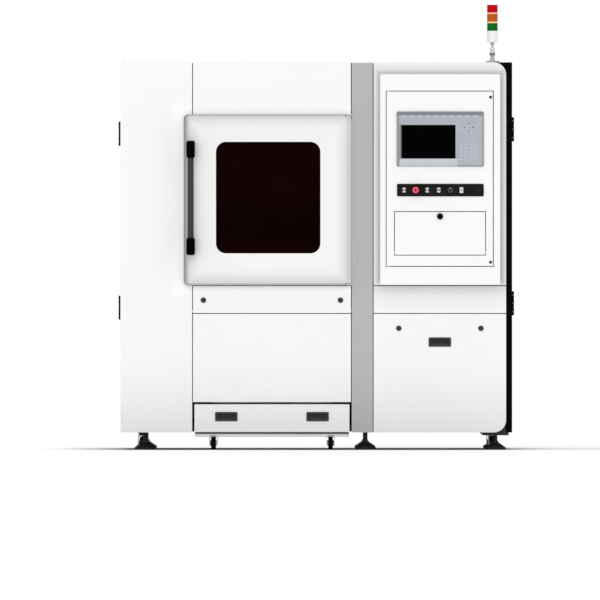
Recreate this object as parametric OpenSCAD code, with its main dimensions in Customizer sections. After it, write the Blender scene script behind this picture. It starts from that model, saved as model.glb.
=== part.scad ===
// Compact enclosed fiber laser cutting machine with working doors, scrap trolley and cutting axes.
// Axes: x to the right, y to the rear, z up, floor at z = 0. All sizes are in millimetres.

/* [Cabinet] */
// Width between the outer faces of the two side skins
body_w = 1880; // [1860:10:2100]
// Depth from the front skin to the rear skin
body_d = 1445; // [1440:5:1600]
// Height of the roof above the floor
top_z = 1860; // [1855:5:2000]
// Clear height between the floor and the skins
foot_h = 83; // [82:1:100]
// Thickness of the skin sheet
sheet_t = 3; // [2:0.5:3.5]
// Visible gap between neighbouring panels
panel_gap = 4; // [3.5:0.5:6]
// Depth of the folded edges of fixed panels
pan_d = 25; // [24:1:32]
// Depth of the folded edges of hinged panels
leaf_d = 20; // [16:1:21]
// Width and height of the frame tubes
tube = 60; // [50:1:64]

/* [Front layout] */
// Width of the left corner panel
left_panel_w = 344; // [340:2:360]
// Width taken by the pillar
pillar_w = 105; // [95:1:120]
// Depth of the pillar
pillar_d = 80; // [70:1:100]
// Width of the control cabinet at the right of the pillar
cabinet_w = 665; // [655:1:700]
// Width of the black body that shows beside the fascia
side_show = 29; // [20:1:32]
// Radius of the rounded right corners of the fascia
fascia_r = 60; // [20:1:80]
// Height of the seam under the band
band_z0 = 654; // [640:1:670]
// Height of the band between its two seams
band_h = 134; // [130:1:150]
// Height of the top edge of the trolley bay
bay_top = 229; // [225:1:240]

/* [Front door] */
// Height of the front door
door_h = 821; // [780:1:860]
// Overlap of the door on the left corner panel
door_over = 40; // [20:1:60]
// Gap between the door and the skin behind it
door_gap = 4; // [3:0.5:8]
// Thickness of the door at its crown
door_t = 53; // [50:1:70]
// Thickness of the door at its rim
rim_t = 32; // [28:1:36]
// Width of the soft crowned border
crown_w = 65; // [30:1:90]
// Radius of the left corners of the door
door_r = 20; // [10:1:40]
// Corner radius of the window
win_r = 48; // [20:1:80]
// Distance from the left door edge to the window
win_in = 154; // [120:1:180]
// Distance from the right door edge to the window
win_out = 148; // [120:1:180]
// Distance from the lower door edge to the window
win_up = 153; // [120:1:180]
// Distance from the upper door edge to the window
win_down = 135; // [110:1:180]
// Thickness of the window pane
glass_t = 8; // [5:0.5:12]
// Width of the rebate that holds the pane
rebate = 14; // [8:1:20]
// Thickness of the two hinge tabs of the door
tab_t = 8; // [6:0.5:10]
// Radius of the hinge pins of the door
door_pin_r = 6; // [4:0.5:8]

/* [Door handle] */
// Reach of the handle in front of the door crown
handle_out = 62; // [58:1:80]
// Overall length of the handle
handle_l = 548; // [400:1:640]
// Distance from the left door edge to the handle axis
handle_in = 33; // [30:1:40]
// Width of each handle bracket
bracket_w = 41; // [36:1:44]
// Height of each handle bracket
bracket_h = 82; // [60:1:100]
// Width of the handle bar
bar_w = 29; // [22:1:30]
// Depth of the handle bar
bar_d = 22; // [16:1:24]

/* [Console] */
// Distance from the pillar to the console
console_in = 32; // [26:1:40]
// Width of the console
console_w = 575; // [572:1:590]
// Height of the console
console_h = 1010; // [1000:1:1050]
// Reach of the console in front of the fascia
console_d = 75; // [74:1:90]
// Radius of the console edges
console_r = 8; // [4:0.5:14]
// Left margin beside the console door
cdoor_in = 30; // [26:1:34]
// Width of the console door
cdoor_w = 510; // [500:1:514]
// Margin under the console door
cdoor_lo = 90; // [70:1:110]
// Height of the console door
cdoor_h = 837; // [820:1:850]
// Radius of the pivot pins of small doors and flaps
pivot_r = 4; // [3:0.25:5]
// Distance from the keyboard flap to the left edge of the console door
kflap_in = 40; // [34:1:44]
// Width of the keyboard flap
kflap_w = 433; // [400:1:440]
// Distance from the keyboard flap to the lower edge of the console door
kflap_up = 54; // [44:1:70]
// Height of the keyboard flap
kflap_h = 205; // [180:1:220]
// Depth of the keyboard pocket
pocket_d = 45; // [38:1:55]

/* [Controls] */
// Distance from the display to the left edge of the console door
disp_in = 48; // [40:1:56]
// Width of the display panel
disp_w = 418; // [410:1:430]
// Distance from the display to the lower edge of the console door
disp_up = 477; // [460:1:500]
// Height of the display panel
disp_h = 264; // [250:1:280]
// Thickness of the display panel in front of the console door
disp_t = 6; // [5:0.5:10]
// Width of the screen
screen_w = 260; // [240:1:264]
// Height of the screen
screen_h = 162; // [150:1:170]
// Distance from the switch plate to the lower edge of the console door
switch_up = 334; // [320:1:350]
// Height of the switch plate
switch_h = 60; // [54:1:66]
// Thickness of the switch plate
switch_t = 4; // [3:0.5:6]
// Distance between neighbouring controls
switch_pitch = 55.4; // [50:0.2:58]
// Radius of the push button caps
button_r = 9; // [7:0.5:10]
// Radius of the emergency stop head
stop_r = 20; // [16:0.5:22]
// Radius of the keyboard flap lock
klock_r = 14.5; // [12:0.5:18]
// Radius of the quarter-turn locks
lock_r = 13; // [11.5:0.5:16]

/* [Pulls] */
// Width of each flush pull
pull_w = 108; // [90:1:120]
// Height of each flush pull
pull_h = 45; // [40:1:54]
// Depth of each flush pull
pull_d = 16; // [12:1:16]

/* [Scrap trolley] */
// Gap between the trolley front and the bay
tray_gap = 11; // [8:1:14]
// Length of the trolley tray
tray_l = 880; // [800:5:900]
// Height of the tray floor above the floor of the room
tray_z = 70; // [68:1:76]
// Height of the tray rim
tray_rim = 205; // [180:1:208]
// Distance from the trolley sides to the pulls
tray_pull_in = 153; // [130:1:180]
// Distance from the trolley sides to the castors
castor_in = 90; // [70:1:120]
// Radius of the trolley wheels
wheel_r = 30; // [26:0.5:31]

/* [Side doors] */
// Distance from the front skin to the side doors
side_in = 140; // [120:1:160]
// Width of the side doors
side_w = 900; // [800:5:940]
// Height of the lower edge of the side doors
side_z0 = 480; // [440:1:520]
// Height of the side doors
side_h = 1240; // [1100:5:1280]
// Length of each side hinge
hinge_l = 116; // [90:1:140]
// Radius of the side hinge barrels
hinge_r = 5; // [4.5:0.25:6]
// Height of the lower left hinge above the floor
hinge_z_left = 682; // [640:1:720]
// Height of the lower right hinge above the floor
hinge_z_right = 703; // [640:1:720]
// Distance between the lower and the upper hinges
hinge_pitch = 836; // [760:2:860]

/* [Feet] */
// Distance from the left skin to the left feet
foot_in_l = 117; // [100:1:140]
// Distance from the right skin to the right feet
foot_in_r = 80; // [70:1:100]
// Radius of the levelling foot pads
pad_r = 50; // [40:1:52]
// Radius of the levelling foot stems
stem_r = 9.5; // [8:0.5:12]
// Radius of the transport castor wheels
transport_r = 28; // [24:0.5:29]

/* [Cutting table] */
// Distance from the sides of the bay to the slat field
work_side = 63; // [53:1:83]
// Depth of the slat field
work_d = 640; // [600:2:660]
// Height of the slat tips above the floor
slat_z = 780; // [770:1:785]
// Number of slats
slat_n = 15; // [12:1:16]
// Thickness of each slat
slat_t = 3; // [2:0.25:4]
// Length of the bed
bed_l = 1030; // [1020:2:1060]
// Height of the bed beams above the floor
bed_z = 820; // [815:1:830]

/* [Motion axes] */
// Width of the long rails
rail_w = 28; // [24:1:32]
// Height of the long rails
rail_h = 25; // [20:1:28]
// Height of the gantry beam
beam_h = 140; // [138:1:160]
// Depth of the gantry beam
beam_d = 120; // [100:1:140]
// Size of the cross rails
cross_rail = 15; // [12:0.5:16]
// Radius of the cutting head body
head_r = 32; // [28:0.5:35]

/* [Tower light] */
// Distance from the right skin to the tower light
tower_in = 94; // [70:1:120]
// Radius of the tower light
tower_r = 25.5; // [22:0.5:30]
// Height of each lens
lens_h = 37; // [30:0.5:45]
// Height of the rings between the lenses
ring_h = 7; // [4:0.5:10]

/* [Rear] */
// Length of the exhaust spigot
spigot_len = 60; // [40:1:80]
// Outer radius of the exhaust spigot
spigot_r = 100; // [75:1:125]

/* [Hidden] */
// Segments for round shapes
$fn = 64;
// Overcut for clean subtraction
cut = 1;
// Running clearance of pins in their bores, on the radius
run_fit = 0.05;
// Clearance between curved faces of different bodies
free_fit = 0.3;
// Clearance round a piece that sits in a cut-out
seat_fit = 0.5;

// Colours of the finishes
white_paint = [0.93, 0.93, 0.92];
grey_paint = [0.70, 0.70, 0.70];
black_paint = [0.03, 0.03, 0.03];
frame_paint = [0.12, 0.12, 0.13];
dark_grey = [0.27, 0.27, 0.27];
steel = [0.62, 0.63, 0.65];
smoked = [0.10, 0.02, 0.02];
panel_silver = [0.72, 0.73, 0.75];
red = [0.80, 0.05, 0.05];
green = [0.05, 0.60, 0.20];
amber = [0.95, 0.55, 0.05];
copper = [0.75, 0.45, 0.25];

// Main planes across the width
x_l = -body_w / 2;
x_r = body_w / 2;
x_seam = x_l + left_panel_w;
x_p1 = x_r - cabinet_w;
x_p0 = x_p1 - pillar_w;
x_fr = x_r - side_show;
x_cab = x_p1 + panel_gap / 2;
bay_x0 = x_seam + panel_gap;
bay_x1 = x_p0 - panel_gap;
bay_mid = (x_seam + x_p0) / 2;

// Main planes along the depth, with the whole length centred on the origin
depth_all = handle_out + door_t + door_gap + body_d + spigot_len;
y_f = handle_out + door_t + door_gap - depth_all / 2;
y_r = y_f + body_d;
y_flange = y_f + pan_d;
y_body = y_flange + sheet_t;

// Main heights
z_skin = top_z - sheet_t;
z_rail = foot_h + tube;
band_z1 = band_z0 + band_h;
half_gap = panel_gap / 2;

// Front door planes
door_z0 = band_z1 + 1;
door_z1 = door_z0 + door_h;
x_d0 = x_seam - door_over;
y_db = y_f - door_gap;
y_df = y_db - door_t;
nose_r = rim_t / 2 + 1;
nose_gap = 2;
x_n = x_p0 - nose_gap - nose_r;
y_n = y_db - rim_t / 2;
crown_n = 6;
crown_h = door_t - rim_t;
tab_r = nose_r - 4;
tab_gap = 1;
tab_foot = 5;
tab_z = [door_z0, door_z1 - tab_t];
pin_reach = 25;
jamb_w = 40;
jamb_d = 15;
win_x0 = x_d0 + win_in;
win_x1 = x_n + nose_r - win_out;
win_z0 = door_z0 + win_up;
win_z1 = door_z1 - win_down;
win_lip = 10;
y_glass = y_df + win_lip;

// Handle planes
handle_x = x_d0 + handle_in;
handle_z = (win_z0 + win_z1) / 2;
y_hf = y_df - handle_out;
handle_seat = 10;
y_pk = y_df + handle_seat;
bar_in = 6;
bar_end = 20;
bar_r = 6;
bracket_r = 9;
bracket_z = [handle_z - (handle_l - bracket_h) / 2, handle_z + (handle_l - bracket_h) / 2];

// Flap and lower panel pivots
pivot_up = 10;
pivot_in = 8;
boss_l = 15;
boss_h = 22;
flap_z0 = band_z0 + half_gap;
flap_z1 = band_z1 - half_gap;
flap_pz = flap_z0 + pivot_up;
lower_z0 = foot_h;
lower_z1 = band_z0 - half_gap;
lower_pz = lower_z0 + pivot_up;
pivot_py = y_f + pivot_in;
ear_x = x_fr - fascia_r - 10;
ear_w = 8;
ear_gap = 2;
ear_r = pivot_in - sheet_t - 0.5;

// Locks and pulls
lock_in = 54;
lock_rise = 64;
lock_drop = 71;
lock_half = 197;
barrel_r = 10;
barrel_l = 16;
lock_proud = 3;
lock_slot = 3;
pull_drop = 137;
pull_rim = 2.5;
pull_wall = 2;
pull_lip = 6;
lower_mid = (x_p1 + x_fr) / 2;

// Frame details
lintel_h = 40;
lintel_d = 40;
lintel_drop = 20;
stop_gap = 6;
foot_plate_t = 14;
foot_plate_w = 127;
foot_plate_l = 82;
foot_y0 = y_body + tube / 2;
foot_y1 = y_r - sheet_t - tube / 2;
castor_step = 112;
castor_left = 13;
foot_xl = x_l + foot_in_l;
foot_xr = x_r - foot_in_r;
castor_y0 = foot_y0 + castor_step;
castor_y1 = foot_y1 - castor_step;
bed_y0 = y_f + 110;
bed_y1 = bed_y0 + bed_l;
cross_y = [y_body, castor_y0 - tube / 2, bed_y1 - tube, castor_y1 - tube / 2, y_r - sheet_t - tube];
tray_stop = 24;
guide_gap = 0.6;
guide_h = 24;
guide_up = 14;
guide_in = 90;
guide_l = 670;
guide_y0 = y_f + guide_in;
guide_y1 = guide_y0 + guide_l;
pillar_foot = (x_p0 + x_p1 - panel_gap) / 2 + 16;

// Side door planes
side_y0 = y_f + side_in;
side_y1 = side_y0 + side_w;
side_z1 = side_z0 + side_h;
hinge_x = x_r + hinge_r + free_fit;
hinge_y = side_y0 + half_gap;
hinge_pin = 2.5;
hinge_leaf = 28;
hinge_leaf_t = 2;
hinge_clear = hinge_r + 1;
hinge_third = hinge_l / 6;
knuckle_gap = 0.5;

// Console planes
con_x0 = x_p1 + console_in;
con_x1 = con_x0 + console_w;
con_z0 = band_z1 + panel_gap;
con_z1 = con_z0 + console_h;
y_c = y_f - console_d;
cd_x0 = con_x0 + cdoor_in;
cd_x1 = cd_x0 + cdoor_w;
cd_z0 = con_z0 + cdoor_lo;
cd_z1 = cd_z0 + cdoor_h;
cd_px = cd_x0 + pivot_in;
cd_py = y_c + pivot_in;
block_w = 20;
block_h = 12;
block_d = 16;
pin_in = 14;
kf_x0 = cd_x0 + kflap_in;
kf_x1 = kf_x0 + kflap_w;
kf_z0 = cd_z0 + kflap_up;
kf_z1 = kf_z0 + kflap_h;
kf_d = 16;
kf_pz = kf_z0 + 9;
kf_py = y_c + 7;
kf_pin = pivot_r - 1;
kf_boss_h = 18;
klock_x = (kf_x0 + kf_x1) / 2;
klock_z = kf_z1 - 21;
klock_shaft = 8;
klock_out = 9;
klock_in = 12;
cam_w = 12;
cam_l = 14;
cam_t = 3;

// Display and switch plate
dp_x0 = cd_x0 + disp_in;
dp_x1 = dp_x0 + disp_w;
dp_z0 = cd_z0 + disp_up;
dp_z1 = dp_z0 + disp_h;
disp_r = 7;
disp_margin = 22;
disp_back = 42;
sc_x0 = dp_x0 + 23;
sc_z0 = dp_z0 + 38;
screen_in = 3;
screen_t = 2.6;
key_t = 0.8;
key_w = 17;
key_h = 12;
key_step_x = 24;
key_step_z = 17;
key_cols = 4;
key_rows = 5;
key_x0 = sc_x0 + screen_w + 18;
key_z0 = dp_z0 + 30;
arrow_x = sc_x0 + screen_w + 63;
arrow_z = dp_z0 + 188;
arrow_step = 21;
arrow_r = 9;
top_key_n = 10;
top_key_w = 26;
top_key_step = 38;
top_key_z = dp_z1 - 30;
sp_x0 = cd_x0 + disp_in + 2;
sp_x1 = dp_x1;
sp_z0 = cd_z0 + switch_up;
sp_z1 = sp_z0 + switch_h;
sp_z = (sp_z0 + sp_z1) / 2;
sp_cut = 12;
switch_first = 34;
bezel_r = button_r + 3.5;
bezel_h = 5;
cap_out = 12;
cap_in = 10;
knob_r = 13;
knob_t = 6;
knob_shaft = 6;
grip_w = 8;
grip_t = 12;
stop_out = 36;
stop_t = 14;
stop_stem = 8;
stop_ring = 14;
stop_ring_h = 3;
key_slot_w = 2;
key_slot_h = 10;
key_slot_d = 6;
port_w = 22;
port_h = 32;
port_t = 3;
port_r = 6;

// Trolley planes
tf_x0 = x_seam + tray_gap;
tf_x1 = x_p0 - tray_gap;
tf_z0 = foot_h + 2;
tf_z1 = bay_top - tray_gap;
tray_in = 24;
ty_0 = y_f + leaf_d;
ty_1 = ty_0 + tray_l;
tray_half = (tf_x1 - tf_x0) / 2;
tray_pull_half = tray_half - tray_pull_in;
castor_half = tray_half - castor_in;
tray_pull_z = 159;
fork_w = 42;
fork_t = 4;
fork_l = 60;
leg_l = 26;
leg_drop = 8;
axle_r = 5;
hub_r = 11;
hub_gap = 0.5;
tread_w = 21;
tray_castor_y = [ty_0 + 45, ty_1 - 60];

// Bed, table and chute planes
work_w = x_p0 - x_seam - 2 * work_side;
work_x0 = bay_mid - work_w / 2;
work_x1 = bay_mid + work_w / 2;
work_y0 = y_f + 150;
work_y1 = work_y0 + work_d;
beam_w = 120;
bed_out = 224;
bed_xl = x_seam - bed_out;
bed_xr = x_p1 - 5;
deck_z = 700;
deck_t = 10;
bed_low = 560;
leg_w = 56;
deck_rear = work_y1 + 105;
hole_in = 10;
slat_bar = 20;
slat_seat = 12;
slat_low = 720;
tooth_n = 16;
tooth_h = 16;
slat_first = 26;
slat_step = (work_d - 2 * slat_first - slat_t) / (slat_n - 1);
chute_z0 = bay_top - 7;
chute_in = 40;
chute_t = 3;
chute_flange = 24;
chute_ft = 4;

// Motion planes, drawn with the gantry parked at the rear
head_y = work_y1 - 33;
head_x = bay_mid;
beam_y0 = head_y + 111;
beam_y1 = beam_y0 + beam_d;
beam_ym = (beam_y0 + beam_y1) / 2;
rail_xl = bed_xl + beam_w / 2;
rail_xr = bed_xr - beam_w / 2;
rail_y0 = bed_y0 + 25;
rail_y1 = bed_y1 - 20;
rail_top = bed_z + rail_h;
block_wx = 60;
block_ly = 90;
block_top = bed_z + 48;
block_low = bed_z + 8;
block_off = 65;
saddle_t = 12;
saddle_w = 110;
saddle_l = 220;
beam_z0 = block_top + saddle_t;
beam_z1 = beam_z0 + beam_h;
cross_z = [beam_z0 + 35, beam_z0 + 105];
cross_over = 90;
cross_half = work_w / 2 + cross_over;
car_y0 = beam_y0 - 38;
car_t = 10;
car_half = 80;
car_z1 = beam_z1 + 60;
car_block_l = 50;
car_block_h = 34;
car_block_gap = 3;
lift_rail_w = 12;
lift_rail_t = 10;
lift_rail_x = 40;
lift_z0 = beam_z0;
lift_y0 = head_y + 40;
lift_t = 12;
lift_half = 70;
lift_low = beam_z0 + 20;
lift_rise = 280;
lift_high = beam_z0 + lift_rise;
lift_block_l = 60;
lift_block_w = 34;
lift_block_z = beam_z0 + 120;
clamp_step = 100;
clamp_z = [beam_z0 + clamp_step, beam_z0 + 2 * clamp_step];
clamp_h = 30;
clamp_w = 46;
head_z = beam_z0 - 8;
nozzle_r = 12;
nozzle_tip = 3;
nozzle_bore = 1;
nozzle_h = 18;
head_cone = 60;
head_body = 220;
head_cap = 70;
head_plug = 50;

// Cabinet contents
flange_w = 30;
floor_t = 3;
laser_x0 = x_cab + 50;
laser_w = 430;
laser_in = 320;
laser_y0 = y_f + laser_in;
laser_l = 760;
laser_h = 180;
plate_in = 350;
plate_y0 = y_f + plate_in;
plate_l = 780;
plate_z0 = 700;
plate_h = 800;
drive_n = 4;
drive_w = 70;
drive_h = 190;
drive_d = 160;
drive_step = 150;
spigot_drop = 320;
vent_n = 8;
vent_drop = 400;
vent_w = 260;
vent_h = 8;
vent_step = 26;

// Tower light planes
tower_x = x_r - tower_in;
flange_r = 31;
flange_t = 7;
cone_r0 = 8;
cone_r1 = 13;
collar_r = 14;
collar_z0 = top_z + 34;
collar_h = 11;
fold_z = top_z + 66;
fold_half = 12.5;
fold_top = 7;
tongue_half = 5;
tongue_gap = 0.4;
tongue_r = 11;
tower_y = y_f + 120;
neck_r = 9;
neck_z = fold_z + 17;
base_z0 = fold_z + 31;
base_h = 48;
core_r = 18;
lens_z = [for (i = [0:2]) base_z0 + base_h + ring_h + i * (lens_h + ring_h)];

// Box between two opposite corners
module box(a, b) {
  translate(a)
    cube(b - a);
}

// Round rod along x
module x_rod(x0, x1, y, z, r) {
  translate([x0, y, z])
    rotate([0, 90, 0])
      cylinder(h = x1 - x0, r = r);
}

// Round rod along y
module y_rod(x, y0, y1, z, r) {
  translate([x, y0, z])
    rotate([-90, 0, 0])
      cylinder(h = y1 - y0, r = r);
}

// Round rod along z
module z_rod(x, y, z0, z1, r) {
  translate([x, y, z0])
    cylinder(h = z1 - z0, r = r);
}

// Flat outline with four round corners
module round_rect(w, h, r) {
  translate([r, 0])
    square([w - 2 * r, h]);
  translate([0, r])
    square([w, h - 2 * r]);
  for (x = [r, w - r], y = [r, h - r])
    translate([x, y])
      circle(r);
}

// Flat outline with round corners at its right side only
module corner_rect(w, h, r, top, bottom) {
  difference() {
    square([w, h]);
    if (top)
      translate([w - r, h - r])
        difference() {
          square([r + cut, r + cut]);
          circle(r);
        }
    if (bottom)
      translate([w - r, r])
        difference() {
          translate([0, -r - cut])
            square([r + cut, r + cut]);
          circle(r);
        }
  }
}

// Plate with round corners, its outline seen from the front
module front_plate(x0, x1, z0, z1, y0, y1, r) {
  translate([x0, y1, z0])
    rotate([90, 0, 0])
      linear_extrude(height = y1 - y0)
        round_rect(x1 - x0, z1 - z0, r);
}

// Folded panel, open at the rear
module pan(x0, x1, z0, z1, y0, d) {
  difference() {
    box([x0, y0, z0], [x1, y0 + d, z1]);
    box([x0 + sheet_t, y0 + sheet_t, z0 + sheet_t], [x1 - sheet_t, y0 + d + cut, z1 - sheet_t]);
  }
}

// Folded panel of the control cabinet with round right corners
module corner_pan(z0, z1, d, top, bottom) {
  w = x_fr - x_p1;
  h = z1 - z0;
  translate([x_p1, y_f, z0])
    rotate([-90, 0, 0])
      mirror([0, 1, 0])
        difference() {
          linear_extrude(height = d)
            corner_rect(w, h, fascia_r, top, bottom);
          translate([sheet_t, sheet_t, sheet_t])
            linear_extrude(height = d)
              corner_rect(w - 2 * sheet_t, h - 2 * sheet_t, fascia_r - sheet_t, top, bottom);
        }
}

// Quarter-turn lock in the front skin
module lock(x, z) {
  difference() {
    union() {
      y_rod(x, y_f - lock_proud, y_f, z, lock_r);
      y_rod(x, y_f, y_f + barrel_l, z, barrel_r);
    }
    box([x - lock_slot / 2, y_f - lock_proud - cut, z - barrel_r / 2], [x + lock_slot / 2, y_f, z + barrel_r / 2]);
  }
}

// Hole for a quarter-turn lock
module lock_hole(x, z) {
  y_rod(x, y_f - cut, y_f + sheet_t + cut, z, barrel_r + free_fit);
}

// Flush pull with a finger cup
module flush_pull(x, z) {
  hw = pull_w / 2;
  hh = pull_h / 2;
  difference() {
    union() {
      front_plate(x - hw, x + hw, z - hh, z + hh, y_f - pull_rim, y_f, pull_lip);
      front_plate(
        x - hw + pull_lip, x + hw - pull_lip, z - hh + pull_lip, z + hh - pull_lip,
        y_f, y_f + pull_d, pull_lip - 1
      );
    }
    front_plate(
      x - hw + pull_lip + pull_wall, x + hw - pull_lip - pull_wall,
      z - hh + pull_lip + pull_wall, z + hh - pull_lip - pull_wall,
      y_f - pull_rim - cut, y_f + pull_d - pull_wall, pull_lip - pull_wall
    );
  }
}

// Cut-out for a flush pull
module pull_hole(x, z) {
  hw = pull_w / 2 - pull_lip + seat_fit;
  hh = pull_h / 2 - pull_lip + seat_fit;
  box([x - hw, y_f - cut, z - hh], [x + hw, y_f + sheet_t + cut, z + hh]);
}

// Fixed half of a right side hinge with its pin
module hinge_fixed(z) {
  z_rod(hinge_x, hinge_y, z - hinge_l / 2, z - hinge_third - knuckle_gap, hinge_r);
  z_rod(hinge_x, hinge_y, z + hinge_third + knuckle_gap, z + hinge_l / 2, hinge_r);
  z_rod(hinge_x, hinge_y, z - hinge_l / 2, z + hinge_l / 2, hinge_pin);
  box([x_r, hinge_y - hinge_leaf, z - hinge_l / 2], [x_r + hinge_leaf_t, hinge_y - hinge_clear, z + hinge_l / 2]);
  box([x_r, hinge_y - hinge_clear, z - hinge_l / 2], [x_r + hinge_leaf_t, hinge_y, z - hinge_third - knuckle_gap]);
  box([x_r, hinge_y - hinge_clear, z + hinge_third + knuckle_gap], [x_r + hinge_leaf_t, hinge_y, z + hinge_l / 2]);
}

// Moving half of a right side hinge
module hinge_moving(z) {
  difference() {
    union() {
      z_rod(hinge_x, hinge_y, z - hinge_third, z + hinge_third, hinge_r);
      box([x_r, hinge_y + hinge_clear, z - hinge_l / 2], [x_r + hinge_leaf_t, hinge_y + hinge_leaf, z + hinge_l / 2]);
      box([x_r, hinge_y, z - hinge_third], [x_r + hinge_leaf_t, hinge_y + hinge_clear, z + hinge_third]);
    }
    z_rod(hinge_x, hinge_y, z - hinge_third - cut, z + hinge_third + cut, hinge_pin + run_fit);
  }
}

// Side door of the right side, with the moving hinge halves
module side_leaf(hinge_z) {
  y0 = side_y0 + panel_gap;
  y1 = side_y1 - panel_gap;
  z0 = side_z0 + panel_gap;
  z1 = side_z1 - panel_gap;
  difference() {
    box([x_r - leaf_d, y0, z0], [x_r, y1, z1]);
    box([x_r - leaf_d - cut, y0 + sheet_t, z0 + sheet_t], [x_r - sheet_t, y1 - sheet_t, z1 - sheet_t]);
  }
  hinge_moving(hinge_z);
  hinge_moving(hinge_z + hinge_pitch);
}

// Opening for a side door in the right wall
module side_hole() {
  box([x_r - 2 * sheet_t, side_y0, side_z0], [x_r + cut, side_y1, side_z1]);
}

// Welded tube frame with jamb post, lintels, trolley guides and foot plates
module welded_frame() {
  color(frame_paint)
    union() {
      box([x_l + sheet_t, y_flange, foot_h], [x_l + sheet_t + tube, y_r - sheet_t, z_rail]);
      box([x_seam - tube, y_flange, foot_h], [x_seam, y_r - sheet_t, z_rail]);
      box([x_p0, y_f + pillar_d, foot_h], [x_p0 + tube, y_r - sheet_t, z_rail]);
      box([x_r - sheet_t - tube, y_body, foot_h], [x_r - sheet_t, y_r - sheet_t, z_rail]);
      for (i = [0:len(cross_y) - 1]) {
        box([x_l + sheet_t, cross_y[i], foot_h], [x_seam, cross_y[i] + tube, z_rail]);
        box([i == 0 ? x_p1 : x_p0, cross_y[i], foot_h], [x_r - sheet_t, cross_y[i] + tube, z_rail]);
      }
      box([x_seam - tube, ty_1 + tray_stop, foot_h], [x_p0 + tube, ty_1 + tray_stop + tube, z_rail]);
      box([x_seam, y_r - sheet_t - tube, foot_h], [x_p0, y_r - sheet_t, z_rail]);
      box([x_seam, guide_y0, foot_h + guide_up], [tf_x0 + tray_in - guide_gap, guide_y1, foot_h + guide_up + guide_h]);
      box([tf_x1 - tray_in + guide_gap, guide_y0, foot_h + guide_up], [x_p0, guide_y1, foot_h + guide_up + guide_h]);
      box([x_l + sheet_t, y_flange, z_rail], [x_l + sheet_t + tube, y_flange + tube, z_skin]);
      box([x_l + sheet_t, y_r - sheet_t - tube, z_rail], [x_l + sheet_t + tube, y_r - sheet_t, z_skin]);
      box([x_p0, y_r - sheet_t - tube, z_rail], [x_p0 + tube, y_r - sheet_t, z_skin]);
      box([x_seam - tube, y_flange, z_rail], [x_seam, y_flange + tube, z_skin]);
      box([x_seam, y_flange, door_z1 - lintel_drop], [x_p0, y_flange + lintel_d, door_z1 - lintel_drop + lintel_h]);
      box([x_seam, y_flange, lower_z1 - lintel_h], [x_p0, y_flange + lintel_d, lower_z1]);
      box([x_seam, y_flange + stop_gap, flap_z1 - lintel_h], [x_p0, y_flange + stop_gap + lintel_d, flap_z1]);
      box([x_seam, y_flange, bay_top], [x_p0, y_flange + lintel_d, bay_top + lintel_h]);
      for (y = [y_body, y_r - sheet_t - foot_plate_l])
        box(
          [foot_xr - foot_plate_w / 2, y, foot_h - foot_plate_t],
          [foot_xr + foot_plate_w / 2, y + foot_plate_l, foot_h]
        );
    }
}

// Levelling feet, each a pad and a threaded stem with its lock nut
module levelling_feet() {
  pad_h = 12;
  cone_h = 22;
  nut_r = stem_r + 5;
  nut_h = 9;
  nut_z = pad_h + cone_h;
  color(black_paint)
    for (p = [[foot_xl, foot_h], [pillar_foot, foot_h], [foot_xr, foot_h - foot_plate_t]], y = [foot_y0, foot_y1])
      translate([p[0], y, 0])
        union() {
          cylinder(h = pad_h, r = pad_r);
          translate([0, 0, pad_h])
            cylinder(h = cone_h, r1 = pad_r - 1, r2 = nut_r + 1);
          translate([0, 0, nut_z])
            cylinder(h = nut_h, r = nut_r, $fn = 6);
          cylinder_at(nut_z, p[1] - nut_z, stem_r);
        }
}

// Transport castors, held clear of the floor by the feet
module transport_castors() {
  lift = 4;
  plate_t = 6;
  plate_l = 70;
  head_r2 = 16;
  head_h = 7;
  trail = 14;
  tread = 26;
  axle_z = lift + transport_r;
  fork_z = foot_h - plate_t - head_h - fork_t;
  color(dark_grey)
    for (x = [foot_xl - castor_left, foot_xr - castor_left], y = [castor_y0, castor_y1])
      translate([x, y, 0]) {
        union() {
          box([-fork_w / 2, -plate_l / 2, foot_h - plate_t], [fork_w / 2, plate_l / 2, foot_h]);
          cylinder_at(foot_h - plate_t - head_h, head_h, head_r2);
          box([-fork_w / 2, -leg_l / 2, fork_z], [fork_w / 2, leg_l / 2 + trail, fork_z + fork_t]);
          for (s = [-1, 1])
            translate([s * (fork_w - fork_t) / 2, trail, 0])
              box([-fork_t / 2, -leg_l / 2, axle_z - leg_drop], [fork_t / 2, leg_l / 2, fork_z]);
          x_rod(-fork_w / 2, fork_w / 2, trail, axle_z, axle_r);
        }
        difference() {
          union() {
            x_rod(-tread / 2, tread / 2, trail, axle_z, transport_r);
            x_rod(-fork_w / 2 + fork_t + hub_gap, fork_w / 2 - fork_t - hub_gap, trail, axle_z, hub_r);
          }
          x_rod(-fork_w, fork_w, trail, axle_z, axle_r + run_fit);
        }
      }
}

// Upright cylinder at a height
module cylinder_at(z, h, r) {
  translate([0, 0, z])
    cylinder(h = h, r = r);
}

// Left corner panel: front strip and side wall in one folded sheet, with the flap's left pivot pin
module left_corner_panel() {
  color(white_paint)
    union() {
      box([x_l, y_f, foot_h], [x_seam, y_f + sheet_t, z_skin]);
      box([x_seam - sheet_t, y_f, foot_h], [x_seam, y_flange, z_skin]);
      difference() {
        box([x_l, y_f, foot_h], [x_l + sheet_t, y_r, z_skin]);
        mirror([1, 0, 0])
          side_hole();
      }
      x_rod(x_seam - sheet_t, bay_x0 + boss_l - cut, pivot_py, flap_pz, pivot_r);
    }
}

// Fixed panel above the front door
module upper_front_panel() {
  color(white_paint)
    pan(bay_x0, bay_x1, door_z1 - lintel_drop, z_skin, y_f, pan_d);
}

// Fixed panel between the flap and the trolley bay
module lower_front_panel() {
  color(white_paint)
    pan(bay_x0, bay_x1, bay_top, lower_z1, y_f, pan_d);
}

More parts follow.
